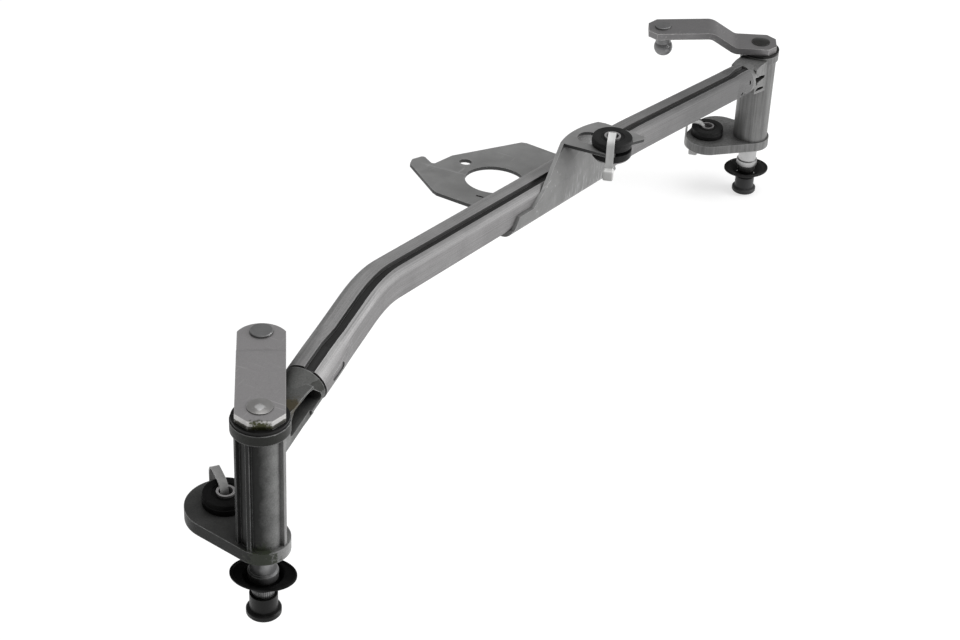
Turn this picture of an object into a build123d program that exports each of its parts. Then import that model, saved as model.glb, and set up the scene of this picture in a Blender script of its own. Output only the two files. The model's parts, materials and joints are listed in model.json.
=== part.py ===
from build123d import *
from math import atan2, cos, radians, sin, tan
import os

os.makedirs("parts", exist_ok=True)

# Front wiper linkage: a tube with a cast spindle housing at each end, a pressed bracket for the
# motor between them, two cranks on their spindles and three rubber mounts. Millimetres.
# The origin is on the near spindle's axis, level with the underside of the near flange.
# +X points towards the far spindle and +Z along the spindles, towards the cranks.

# Distance between the two spindles along X
spindle_spacing = 648.0

# Cast housings, heights above the underside of the flange
housing_height = 70.0
flange_thickness = 6.2
collar_height = 5.0
near_barrel_radius = 10.0
far_barrel_radius = 11.4
near_collar_radius = 13.1
far_collar_radius = 12.6
housing_bore_radius = 7.6
rib_reach = 11.8
rib_thickness = 2.0
rib_angles = (91.0, 141.0, 181.0, 269.0)

# Flange outlines: each circle as (x from the axis, y from the axis, radius)
near_ear = (11.2, 25.3)
near_ear_radius = 18.4
near_flange_radius = 12.5
far_ear = (-17.6, 24.2)
far_ear_radius = 14.2
far_flange_radius = 12.7
far_flange_bulge = (-1.0, 22.0)
far_flange_bulge_radius = 15.0

# Mounts' centres from the spindle's axis
near_mount_place = (12.7, 26.0)
far_mount_place = (-13.8, 25.9)

# Tube: a round stock pressed to a rounded square with a groove along its top
tube_width = 17.4
tube_height = 16.3
tube_corner = 4.0
tube_wall = 1.5
tube_end_diameter = 20.6
tube_end_gap = 0.8
groove_y = -2.9
groove_width = 4.8
groove_depth = 2.0
round_length = 15.0
blend_length = 12.0
tube_end_offset = 39.0
bend_x = 99.6
bend_rise = 7.9
far_tube_drop = 4.4
kink_x = 407.8
near_slope = 13.0
main_slope = -14.07
far_slope = -15.94
bend_radius = 60.0
kink_radius = 900.0
stake_length = 11.0
stake_width = 4.0
stake_depth = 0.8
dimple_radius = 1.7
far_dimples = ((7.5, 12.0), (12.0, -32.0), (19.0, -22.0))

# Arms of the castings: shoulder against the tube's end and spigot inside it
arm_width = 17.4
arm_web = 5.0
near_pocket_corner = 1.6
far_pocket_corner = 0.6
shoulder_radius = 9.9
shoulder_length = 12.0
spigot_length = 14.0
spigot_clearance = 0.05
notch_clearance = 0.25
near_arm_rise = 0.6
far_arm_rise = -0.5

# Spindles, heights from the underside of the flange
shaft_diameter = 12.0
neck_diameter = 9.8
shaft_end = -19.5
taper_end = -26.0
taper_end_diameter = 10.2
thread_end = -36.5
thread_diameter = 8.0
ring_land_top = -12.5
ring_land_bottom = -16.0
ring_land_diameter = 13.8
near_rivet_diameter = 11.4
far_rivet_diameter = 12.0
rivet_dome = 1.4
running_clearance = 0.05
seat_clearance = 0.02
end_float = 0.2

# Bushes, seals and rings on the spindle
bush_length = 14.0
bush_inset = 1.0
o_ring_section = 2.2
o_ring_height = 4.0
washer_radius = 12.6
washer_thickness = 1.4
shim_radius = 10.0
shim_thickness = 1.0
clip_outer_radius = 8.8
clip_groove_radius = 5.4
clip_thickness = 1.2
clip_opening = 5.0

# Cranks
lever_width = 21.6
lever_thickness = 4.4
lever_tail = 10.2
lever_chamfer = 5.5
near_crank_angle = 29.7
near_crank_reach = 57.5
near_lever_bends = ((42.0, 0.0), (43.8, -1.7))
near_bend_round = 0.4
near_end_reach = 64.3
near_end_radius = 12.6
far_crank_angle = 113.5
far_crank_reach = 65.0
far_lever_bends = ((16.7, 0.0), (32.5, 9.9))
far_bend_round = 6.0
far_end_reach = 74.5
far_end_rise = 6.8
ball_diameter = 12.2
ball_drop = 14.5
ball_flat_diameter = 7.6
stud_diameter = 8.0
stud_neck_radius = 5.0
stud_collar_radius = 5.9
stud_collar_height = 2.0
stud_head_diameter = 10.4
stud_head_height = 1.2

# Seal dishes and thread caps
near_dish_height = -14.5
far_dish_height = -19.0
dish_depth = 5.0
dish_rim = 1.6
dish_wall = 1.5
dish_shoulder = 0.4
near_dish_radius = 11.2
far_dish_radius = 12.6
dish_lobe_radius = 9.0
dish_half_length = 15.2
near_dish_angle = 107.0
far_dish_angle = -50.0
cap_top = -25.7
cap_bottom = -38.0
cap_radius = 6.4
cap_bore_radius = 5.5
cap_ring_radius = 8.0
cap_ring_height = 3.0
cap_edge = 0.8
cap_bore_depth = 5.0
cap_bore_cone = 1.0

# Rubber mounts with their steel sleeves
grommet_radius = 10.8
grommet_neck_radius = 7.4
grommet_bore_radius = 4.35
sleeve_radius = 4.3
sleeve_bore_radius = 3.3
sleeve_proud = 0.6
ear_grommet_top = 5.8
ear_grommet_foot = 2.5
mid_grommet_top = 4.4
mid_grommet_foot = 4.0
grommet_round = 0.6
mid_washer_radius = 9.6
mid_washer_thickness = 1.0

# Pressed bracket: saddle round the tube, web, fork and motor plate
sheet = 2.0
saddle_relief = 0.6
fork_rise = 26.9
fork_front_x = 305.4
fork_back_y = -2.3
mid_mount_x = 317.8
mid_mount_y = -26.4
slot_half_width = 6.0
slot_closed_y = -7.0
saddle_start_x = 232.0
saddle_length = 143.0
side_step = 7.0
foot_drop = 6.5
wall_extra = 1.8
web_start = 35.0
web_toe = 11.0
web_run = 93.0
boss_x = 298.2
boss_y = 30.9
boss_drop = 6.6
boss_radius = 16.1
plate_tilt = 5.4
screw_circle_radius = 25.0
screw_angle = 64.7
screw_hole_radius = 3.4
plate_corner = 1.6
slit_length = 4.2
slit_width = 1.5
plate_near_x = 264.2
plate_far_x = 347.1

# Cable ties that hold each mount's sleeve
strap_width = 4.0
strap_thickness = 1.1
head_width = 5.6
head_height = 4.6
head_length = 6.0
head_round = 1.2
strap_seat = 1.9
strap_bend = 2.2
mount_tie_low = -6.6
mount_tie_high = 14.3
near_tie_angle = 48.0
near_tie_reach = 19.2
far_tie_angle = 103.0
far_tie_reach = 14.0
hidden_head_reach = 8.0
mid_tie_angle = 198.0
mid_tie_reach = 13.0
mid_tie_low = -11.5
mid_tie_high = 8.6
mid_head_height = 10.1

lever_seat = housing_height + end_float + washer_thickness
lever_top = lever_seat + lever_thickness
far_x = spindle_spacing
tube_start_x = tube_end_offset
far_end_x = spindle_spacing - tube_end_offset
bend_z = housing_height + bend_rise


def level(site, height):
    """Horizontal plane above a point, at a height over that point."""
    return Plane(origin=(site[0], site[1], site[2] + height))


def upright(site, direction=0.0):
    """Vertical plane through a point: x along the direction, y upwards."""
    angle = radians(direction)
    return Plane(origin=site, x_dir=(cos(angle), sin(angle), 0), z_dir=(sin(angle), -cos(angle), 0))


def centre_height(x):
    """Height of the tube's centre line at x."""
    if x < bend_x:
        return bend_z + (x - bend_x) * tan(radians(near_slope))
    kink_z = bend_z + (kink_x - bend_x) * tan(radians(main_slope))
    if x < kink_x:
        return bend_z + (x - bend_x) * tan(radians(main_slope))
    return kink_z + (x - kink_x) * tan(radians(far_slope))


near_site = (0.0, 0.0, 0.0)
far_site = (far_x, 0.0, centre_height(far_end_x) + far_tube_drop - housing_height)
fork_height = centre_height(mid_mount_x) + fork_rise
boss_height = centre_height(boss_x) - boss_drop


def across(x, slope, along=0.0):
    """Plane across the tube's run: x to +Y, y upwards, z along the run."""
    angle = radians(slope)
    point = (x + along * cos(angle), 0, centre_height(x) + along * sin(angle))
    return Plane(origin=point, x_dir=(0, 1, 0), z_dir=(cos(angle), 0, sin(angle)))


def outer_profile():
    RectangleRounded(tube_width, tube_height, tube_corner)


def inner_profile():
    wall = 2 * tube_wall
    RectangleRounded(tube_width - wall, tube_height - wall, tube_corner - tube_wall)


def outer_round():
    RectangleRounded(tube_end_diameter, tube_end_diameter, tube_end_diameter / 2 - 0.05)


def inner_round():
    size = tube_end_diameter - 2 * tube_wall
    RectangleRounded(size, size, size / 2 - 0.05)


def groove_room(top, wall):
    """Room of the groove below the top of a section, with a wall kept round it."""
    low = top - groove_depth - wall
    with Locations((groove_y, low + tube_height / 2)):
        Rectangle(groove_width + 2 * wall, tube_height)


def groove_square():
    groove_room(tube_height / 2, 0)


def groove_round():
    groove_room(tube_end_diameter / 2, 0)


def land_square():
    groove_room(tube_height / 2, tube_wall)


def land_round():
    groove_room(tube_end_diameter / 2, tube_wall)


# Tube
near_square = across(tube_start_x, near_slope, round_length + blend_length)
far_square = across(far_end_x, far_slope, -round_length - blend_length)
with BuildLine() as run:
    FilletPolyline(
        near_square.origin,
        (bend_x, 0, bend_z),
        (kink_x, 0, centre_height(kink_x)),
        far_square.origin,
        radius=[bend_radius, kink_radius],
    )


def tube_end(start, slope, sense, profile_round, profile_square, mode):
    """Round end of the tube and its blend into the square run."""
    with BuildSketch(across(start, slope)) as end:
        profile_round()
    extrude(end.sketch, amount=sense * round_length, mode=mode)
    with BuildSketch(across(start, slope, sense * round_length)) as round_face:
        profile_round()
    with BuildSketch(across(start, slope, sense * (round_length + blend_length))) as square_face:
        profile_square()
    loft([round_face.sketch, square_face.sketch], mode=mode)


def whole_run(profile_round, profile_square, mode=Mode.ADD):
    """One section carried from the tube's near end to its far end."""
    with BuildSketch(near_square) as section:
        profile_square()
    sweep(section.sketch, path=run.wire(), mode=mode)
    tube_end(tube_start_x, near_slope, 1, profile_round, profile_square, mode)
    tube_end(far_end_x, far_slope, -1, profile_round, profile_square, mode)


with BuildPart() as tube_hollow:
    whole_run(inner_round, inner_profile)
    whole_run(land_round, land_square, Mode.SUBTRACT)

with BuildPart() as frame_tube:
    whole_run(outer_round, outer_profile)
    add(tube_hollow.part, mode=Mode.SUBTRACT)
    whole_run(groove_round, groove_square, Mode.SUBTRACT)
    # staked dent that locks the near end on its spigot
    near_angle = radians(near_slope)
    dent_middle = across(tube_start_x, near_slope, round_length * 0.75).origin
    dent_side = Plane(
        origin=(dent_middle.X, -tube_end_diameter / 2 - 1, dent_middle.Z),
        x_dir=(cos(near_angle), 0, sin(near_angle)),
        z_dir=(0, 1, 0),
    )
    with BuildSketch(dent_side):
        SlotOverall(stake_length, stake_width)
    extrude(amount=1 + stake_depth, mode=Mode.SUBTRACT)
    # round dimples that lock the far end
    for along, lift in far_dimples:
        section = across(far_end_x, far_slope, -along)
        outward = section.x_dir * -cos(radians(lift)) + section.y_dir * sin(radians(lift))
        floor = section.origin + outward * (tube_end_diameter / 2 - stake_depth)
        with BuildSketch(Plane(origin=floor, x_dir=section.z_dir, z_dir=outward)):
            Circle(dimple_radius)
        extrude(amount=2 * stake_depth + 1, mode=Mode.SUBTRACT)
frame_tube.part.label = "frame_tube"
export_step(frame_tube.part, "parts/frame_tube.step")


def barrel(site, radius, collar_radius):
    """Upright barrel with its collar at the top."""
    with BuildSketch(level(site, 0)) as wall:
        Circle(radius)
    extrude(wall.sketch, amount=housing_height)
    with BuildSketch(level(site, housing_height - collar_height)) as collar:
        Circle(collar_radius)
    extrude(collar.sketch, amount=collar_height)


def shoulder(start, slope, sense):
    """Round shoulder behind the tube's end and the spigot that fills the tube."""
    with BuildSketch(across(start, slope, -sense * tube_end_gap)) as stop:
        Circle(shoulder_radius)
    extrude(stop.sketch, amount=-sense * shoulder_length)
    inner = tube_end_diameter / 2 - tube_wall - spigot_clearance
    with BuildSketch(across(start, slope, -sense * tube_end_gap)) as spigot:
        Circle(inner)
        with Locations((groove_y, inner)):
            notch = 2 * (groove_depth + notch_clearance)
            Rectangle(groove_width + 2 * (tube_wall + notch_clearance), notch, mode=Mode.SUBTRACT)
    extrude(spigot.sketch, amount=sense * (spigot_length + tube_end_gap))


def spindle_bore(site):
    """Straight bore for the two bushes."""
    with BuildSketch(level(site, -1)) as bore:
        Circle(housing_bore_radius)
    extrude(bore.sketch, amount=housing_height + 2, mode=Mode.SUBTRACT)


def mount_hole(site, place):
    """Hole for the rubber mount's neck."""
    with BuildSketch(level(site, -1)) as hole:
        with Locations(place):
            Circle(grommet_neck_radius + seat_clearance)
    extrude(hole.sketch, amount=flange_thickness + 2, mode=Mode.SUBTRACT)


def side_pockets(site, points, corner):
    """Pocket of the arm, cut from both sides down to the middle web."""
    for side in (-1, 1):
        face = Plane(
            origin=(site[0], site[1] + side * (arm_web / 2), site[2]),
            x_dir=(1, 0, 0),
            z_dir=(0, -1, 0),
        )
        with BuildSketch(face) as pocket:
            with BuildLine():
                Polyline(*points, close=True)
            make_face()
            fillet(pocket.vertices(), radius=corner)
        extrude(pocket.sketch, amount=-side * arm_width, mode=Mode.SUBTRACT)


# Near housing: ribbed barrel, long ear and a pocketed arm that meets the tube
near_arm_top = housing_height + near_arm_rise
near_arm_outline = [
    (0, near_arm_top - 1.2),
    (near_collar_radius, near_arm_top - 1.0),
    (24.0, near_arm_top),
    (30.0, near_arm_top),
    (30.0, near_arm_top - 14.1),
    (21.0, near_arm_top - 15.7),
    (8.0, near_arm_top - 19.0),
    (0, near_arm_top - 20.8),
]
near_pocket = [
    (near_collar_radius + 0.3, near_arm_top - 2.4),
    (26.0, near_arm_top - 0.9),
    (30.0, near_arm_top - 1.6),
    (34.6, near_arm_top - 6.0),
    (35.4, near_arm_top - 8.6),
    (near_barrel_radius, near_arm_top - 14.8),
    (near_barrel_radius, near_arm_top - 7.6),
]
with BuildPart() as near_housing:
    barrel(near_site, near_barrel_radius, near_collar_radius)
    for angle in rib_angles:
        with BuildSketch(level(near_site, flange_thickness)):
            with Locations(Rotation(0, 0, angle)):
                with Locations((rib_reach / 2, 0)):
                    Rectangle(rib_reach, rib_thickness)
        extrude(amount=housing_height - collar_height - flange_thickness)
    with BuildSketch(level(near_site, 0)):
        Circle(near_flange_radius)
        with Locations(near_ear):
            Circle(near_ear_radius)
        make_hull()
    extrude(amount=flange_thickness)
    with BuildSketch(Plane.XZ):
        with BuildLine():
            Polyline(*near_arm_outline, close=True)
        make_face()
    extrude(amount=arm_width / 2, both=True)
    shoulder(tube_start_x, near_slope, 1)
    side_pockets(near_site, near_pocket, near_pocket_corner)
    spindle_bore(near_site)
    mount_hole(near_site, near_mount_place)
near_housing.part.label = "near_housing"
export_step(near_housing.part, "parts/near_housing.step")

# Far housing: smooth barrel, shorter arm with two small pockets and a rib between them
far_arm_top = housing_height + far_arm_rise
far_arm_outline = [
    (0, far_arm_top - 3.0),
    (-22.0, far_arm_top + 1.0),
    (-30.0, far_arm_top + 1.5),
    (-30.0, far_arm_top - 16.0),
    (0, far_arm_top - 26.0),
]
far_upper_pocket = [
    (-34.0, far_arm_top - 2.0),
    (-31.5, far_arm_top - 8.8),
    (-far_barrel_radius, far_arm_top - 12.2),
    (-far_barrel_radius, far_arm_top - 10.2),
]
far_lower_pocket = [
    (-32.0, far_arm_top - 14.0),
    (-23.5, far_arm_top - 14.2),
    (-far_barrel_radius, far_arm_top - 18.6),
    (-far_barrel_radius, far_arm_top - 20.2),
]
with BuildPart() as far_housing:
    barrel(far_site, far_barrel_radius, far_collar_radius)
    with BuildSketch(level(far_site, 0)):
        Circle(far_flange_radius)
        with Locations(far_ear):
            Circle(far_ear_radius)
        with Locations(far_flange_bulge):
            Circle(far_flange_bulge_radius)
        make_hull()
    extrude(amount=flange_thickness)
    with BuildSketch(upright(far_site)):
        with BuildLine():
            Polyline(*far_arm_outline, close=True)
        make_face()
    extrude(amount=arm_width / 2, both=True)
    shoulder(far_end_x, far_slope, -1)
    side_pockets(far_site, far_upper_pocket, far_pocket_corner)
    side_pockets(far_site, far_lower_pocket, far_pocket_corner)
    spindle_bore(far_site)
    mount_hole(far_site, far_mount_place)
far_housing.part.label = "far_housing"
export_step(far_housing.part, "parts/far_housing.step")


def sheet_top(x):
    """Height of the motor plate's upper face at x."""
    return boss_height - (x - boss_x) * tan(radians(plate_tilt))


# Motor bracket
main_angle = radians(main_slope)
wall_rise = tube_height / 2 - tube_corner + wall_extra
side_view = Plane(
    origin=(saddle_start_x, 0, centre_height(saddle_start_x)),
    x_dir=(cos(main_angle), 0, sin(main_angle)),
    z_dir=(0, -1, 0),
)
fork_end_x = fork_front_x + 30.3
fork_middle = (fork_front_x + 18.6, fork_back_y - 2.1)
fork_end = (fork_end_x, fork_back_y - 8.5)
slot_left = mid_mount_x - slot_half_width
slot_right = mid_mount_x + slot_half_width
slot_centre_y = slot_closed_y - slot_half_width


with BuildSketch(Plane.XY.offset(fork_height)) as fork:
    # two legs round the slot that opens to -Y
    with BuildLine():
        ThreePointArc((fork_front_x, fork_back_y), fork_middle, fork_end)
        Polyline(
            fork_end,
            (fork_end_x + 0.5, mid_mount_y + 11.7),
            (fork_end_x - 2.2, mid_mount_y - 12.0),
            (fork_end_x - 4.8, mid_mount_y - 12.9),
            (slot_right + 0.6, mid_mount_y - 8.5),
            (slot_right, mid_mount_y - 5.0),
            (slot_right, slot_centre_y),
        )
        ThreePointArc(
            (slot_right, slot_centre_y),
            (mid_mount_x, slot_closed_y),
            (slot_left, slot_centre_y),
        )
        Polyline(
            (slot_left, slot_centre_y),
            (slot_left, mid_mount_y - 4.5),
            (slot_left - 3.0, mid_mount_y - 5.6),
            (fork_front_x + 0.9, mid_mount_y - 2.8),
            (fork_front_x, fork_back_y),
        )
    make_face()


with BuildPart() as motor_bracket:
    # saddle: the sheet follows the tube's lower half, and one wall rises past its middle
    with BuildSketch(across(saddle_start_x, main_slope)):
        saddle_corner = tube_corner - saddle_relief
        RectangleRounded(tube_width + 2 * sheet, tube_height + 2 * sheet, saddle_corner + sheet)
        RectangleRounded(tube_width, tube_height, saddle_corner, mode=Mode.SUBTRACT)
        with Locations((0, tube_height)):
            Rectangle(4 * tube_width, 2 * tube_height, mode=Mode.SUBTRACT)
        with Locations((-(tube_width + sheet) / 2, wall_rise / 2)):
            Rectangle(sheet, wall_rise)
    extrude(amount=saddle_length)
    # the side wall is cut back towards the saddle's two ends
    with BuildSketch(side_view):
        with BuildLine():
            Polyline(
                (-5, -foot_drop),
                (2, -foot_drop),
                (side_step, 0),
                (web_start - web_toe, 0),
                (web_start, wall_rise),
                (web_start, tube_height),
                (-5, tube_height),
                close=True,
            )
        make_face()
        with BuildLine():
            Polyline(
                (saddle_length, -foot_drop),
                (web_start + web_run, wall_rise),
                (web_start + web_run, tube_height),
                (saddle_length + 5, tube_height),
                (saddle_length + 5, -foot_drop),
                close=True,
            )
        make_face()
    extrude(amount=tube_width, both=True, mode=Mode.SUBTRACT)
    # web: a ruled sheet from the side wall up to the fork
    web_foot = Plane(
        origin=side_view.from_local_coords((web_start, wall_rise, 0)),
        x_dir=(cos(main_angle), 0, sin(main_angle)),
        z_dir=(-sin(main_angle), 0, cos(main_angle)),
    )
    wall_y = -tube_width / 2
    with BuildSketch(web_foot):
        with BuildLine():
            Line((0, wall_y), (web_run, wall_y))
            Line((web_run, wall_y), (web_run, wall_y - sheet))
            Line((web_run, wall_y - sheet), (0, wall_y - sheet))
            Line((0, wall_y - sheet), (0, wall_y))
        make_face()
    with BuildSketch(Plane.XY.offset(fork_height)):
        with BuildLine():
            ThreePointArc((fork_front_x, fork_back_y), fork_middle, fork_end)
            Line(fork_end, (fork_end[0], fork_end[1] - sheet))
            ThreePointArc(
                (fork_end[0], fork_end[1] - sheet),
                (fork_middle[0], fork_middle[1] - sheet),
                (fork_front_x, fork_back_y - sheet),
            )
            Line((fork_front_x, fork_back_y - sheet), (fork_front_x, fork_back_y))
        make_face()
    loft(ruled=True)
    # fork for the middle mount
    extrude(fork.sketch, amount=-sheet)
    # motor plate, tilted a little about Y
    plate_angle = radians(plate_tilt)
    plate_plane = Plane(
        origin=(boss_x, boss_y, boss_height),
        x_dir=(cos(plate_angle), 0, -sin(plate_angle)),
        z_dir=(sin(plate_angle), 0, cos(plate_angle)),
    )
    wall_edge = tube_width / 2 + 0.5 - boss_y
    with BuildSketch(plate_plane) as plate:
        with BuildLine():
            Polyline(
                (plate_near_x - boss_x, wall_edge),
                (plate_near_x - boss_x, -2.8),
                (-31.4, 19.2),
                (-29.6, 22.3),
                (-8.2, 46.7),
                (-2.9, 48.1),
                (4.5, 44.8),
                (-2.1, 36.0),
                (13.6, 32.2),
                (51.0, 7.7),
                (51.8, 4.8),
                (plate_far_x - boss_x, -12.8),
                (plate_far_x - boss_x, wall_edge),
                close=True,
            )
        make_face()
        fillet(plate.vertices().sort_by(Axis.Y)[2:], radius=plate_corner)
    extrude(amount=-sheet)
    # wall that joins the plate to the saddle where the plate lies below the tube
    join_x = boss_x + 6.0
    with BuildSketch(Plane.XZ.offset(-tube_width / 2 - sheet)):
        with BuildLine():
            Polyline(
                (plate_near_x, sheet_top(plate_near_x) - sheet),
                (join_x, sheet_top(join_x) - sheet),
                (join_x, centre_height(join_x) - 3.0),
                (plate_near_x, centre_height(plate_near_x) - 3.0),
                close=True,
            )
        make_face()
    extrude(amount=sheet)
    # motor boss hole, screw hole and slit
    with BuildSketch(plate_plane.offset(2 * sheet)):
        Circle(boss_radius)
        with PolarLocations(screw_circle_radius, 1, start_angle=screw_angle):
            Circle(screw_hole_radius)
        with PolarLocations(screw_circle_radius - 2.3, 1, start_angle=screw_angle + 120):
            Rectangle(slit_width, slit_length)
    extrude(amount=-4 * sheet, mode=Mode.SUBTRACT)
motor_bracket.part.label = "motor_bracket"
export_step(motor_bracket.part, "parts/motor_bracket.step")


def export_piece(builder, name):
    """Label a finished piece and write it."""
    builder.part.label = name
    export_step(builder.part, "parts/" + name + ".step")


def revolve_profile(site, points, direction=0.0):
    """Turned piece: points are (radius, height over the site)."""
    with BuildSketch(upright(site, direction)) as profile:
        with BuildLine():
            Polyline(*points, close=True)
        make_face()
    revolve(profile.sketch, axis=Axis(site, (0, 0, 1)))


def make_mount(name, centre, base, plate_thickness, top, foot, neck_radius):
    """Rubber mount in its plate and the steel sleeve inside it."""
    seat = (centre[0], centre[1], base)
    upper = plate_thickness + top
    with BuildPart() as rubber:
        revolve_profile(
            seat,
            [
                (grommet_bore_radius, -foot),
                (grommet_radius - grommet_round, -foot),
                (grommet_radius, -foot + grommet_round),
                (grommet_radius, 0),
                (neck_radius, 0),
                (neck_radius, plate_thickness),
                (grommet_radius, plate_thickness),
                (grommet_radius, upper - grommet_round),
                (grommet_radius - grommet_round, upper),
                (grommet_bore_radius + grommet_round, upper),
                (grommet_bore_radius, upper - grommet_round),
            ],
        )
    export_piece(rubber, name + "_grommet")
    with BuildPart() as sleeve:
        revolve_profile(
            seat,
            [
                (sleeve_bore_radius, -foot - sleeve_proud),
                (sleeve_radius, -foot - sleeve_proud),
                (sleeve_radius, upper + sleeve_proud),
                (sleeve_bore_radius, upper + sleeve_proud),
            ],
        )
    export_piece(sleeve, name + "_sleeve")


near_mount = (near_site[0] + near_mount_place[0], near_site[1] + near_mount_place[1])
far_mount = (far_site[0] + far_mount_place[0], far_site[1] + far_mount_place[1])
mid_mount = (mid_mount_x, mid_mount_y)
for name, centre, base in (("near", near_mount, near_site[2]), ("far", far_mount, far_site[2])):
    make_mount(
        name, centre, base, flange_thickness, ear_grommet_top, ear_grommet_foot, grommet_neck_radius
    )
mid_neck_radius = slot_half_width - seat_clearance
make_mount(
    "mid", mid_mount, fork_height - sheet, sheet, mid_grommet_top, mid_grommet_foot, mid_neck_radius
)

# Steel washer under the middle mount
with BuildPart() as mid_washer:
    with BuildSketch(Plane.XY.offset(fork_height - sheet - mid_grommet_foot - mid_washer_thickness)):
        with Locations(mid_mount):
            Circle(mid_washer_radius)
            Circle(sleeve_radius + seat_clearance, mode=Mode.SUBTRACT)
    extrude(amount=mid_washer_thickness)
export_piece(mid_washer, "mid_washer")


def make_tie(name, centre, low, high, direction, reach, head):
    """Cable tie: a closed strap through the sleeve and round the plate, with its head."""
    middle = (strap_seat + reach) / 2
    width = reach - strap_seat
    height = high - low
    site = (centre[0], centre[1], (low + high) / 2)
    with BuildPart() as tie:
        with BuildSketch(upright(site, direction)):
            with Locations((middle, 0)):
                RectangleRounded(
                    width + strap_thickness,
                    height + strap_thickness,
                    strap_bend + strap_thickness / 2,
                )
                RectangleRounded(
                    width - strap_thickness,
                    height - strap_thickness,
                    strap_bend - strap_thickness / 2,
                    mode=Mode.SUBTRACT,
                )
        extrude(amount=strap_width / 2, both=True)
        along, lift, long_side, tall_side = head
        with BuildSketch(upright(site, direction)):
            with Locations((along, lift)):
                RectangleRounded(long_side, tall_side, head_round)
        extrude(amount=head_width / 2, both=True)
    export_piece(tie, name + "_tie")


# the ear mounts' heads lie under the ear, the middle one's stands outside the strap
half_loop = (mount_tie_high - mount_tie_low) / 2
lying = (head_height - strap_thickness) / 2
hidden_head = (hidden_head_reach, -half_loop - lying, head_length, head_height)
for name, centre, base, angle, reach in (
    ("near", near_mount, near_site[2], near_tie_angle, near_tie_reach),
    ("far", far_mount, far_site[2], far_tie_angle, far_tie_reach),
):
    make_tie(name, centre, base + mount_tie_low, base + mount_tie_high, angle, reach, hidden_head)
mid_low = fork_height + mid_tie_low
mid_high = fork_height + mid_tie_high
mid_head = (
    mid_tie_reach + lying,
    fork_height - mid_head_height - (mid_low + mid_high) / 2,
    head_height,
    head_length,
)
make_tie("mid", mid_mount, mid_low, mid_high, mid_tie_angle, mid_tie_reach, mid_head)


def make_bushes(name, site):
    """Plain bushes at the two ends of the housing's bore."""
    lower_start = o_ring_height + o_ring_section + bush_inset
    upper_start = housing_height - bush_inset - bush_length
    for place, start in (("lower", lower_start), ("upper", upper_start)):
        with BuildPart() as bush:
            with BuildSketch(level(site, start)):
                Circle(housing_bore_radius - seat_clearance)
                Circle(shaft_diameter / 2 + running_clearance, mode=Mode.SUBTRACT)
            extrude(amount=bush_length)
        export_piece(bush, name + "_" + place + "_bush")


def make_spindle(name, site, rivet_diameter):
    """Turned spindle: riveted neck, shaft, ring groove, taper for the arm and thread."""
    shaft = shaft_diameter / 2
    neck = neck_diameter / 2
    groove = clip_groove_radius
    ring_top = -end_float - shim_thickness
    land = ring_land_diameter / 2
    o_ring_groove = shaft - o_ring_section / 2 + 0.2
    o_half = o_ring_section / 2 + 0.1
    with BuildPart() as spindle:
        with BuildSketch(upright(site)):
            with BuildLine():
                Polyline(
                    (0, lever_top + rivet_dome),
                    (0, thread_end),
                    (thread_diameter / 2 - 1, thread_end),
                    (thread_diameter / 2, thread_end + 1),
                    (thread_diameter / 2, taper_end),
                    (taper_end_diameter / 2, taper_end),
                    (shaft, shaft_end),
                    (shaft, ring_land_bottom - 1),
                    (land, ring_land_bottom),
                    (land, ring_land_top),
                    (shaft, ring_land_top + 0.6),
                    (shaft, ring_top - clip_thickness - 0.1),
                    (groove, ring_top - clip_thickness - 0.1),
                    (groove, ring_top),
                    (shaft, ring_top),
                    (shaft, o_ring_height - o_half),
                    (o_ring_groove, o_ring_height - o_half),
                    (o_ring_groove, o_ring_height + o_half),
                    (shaft, o_ring_height + o_half),
                    (shaft, lever_seat),
                    (neck, lever_seat),
                    (neck, lever_top),
                    (rivet_diameter / 2, lever_top),
                    (rivet_diameter / 2, lever_top + 0.5),
                )
                TangentArc(
                    (0, lever_top + rivet_dome), (rivet_diameter / 2, lever_top + 0.5), tangent=(1, 0)
                )
            make_face()
        revolve(axis=Axis(site, (0, 0, 1)))
    export_piece(spindle, name + "_spindle")


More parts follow.
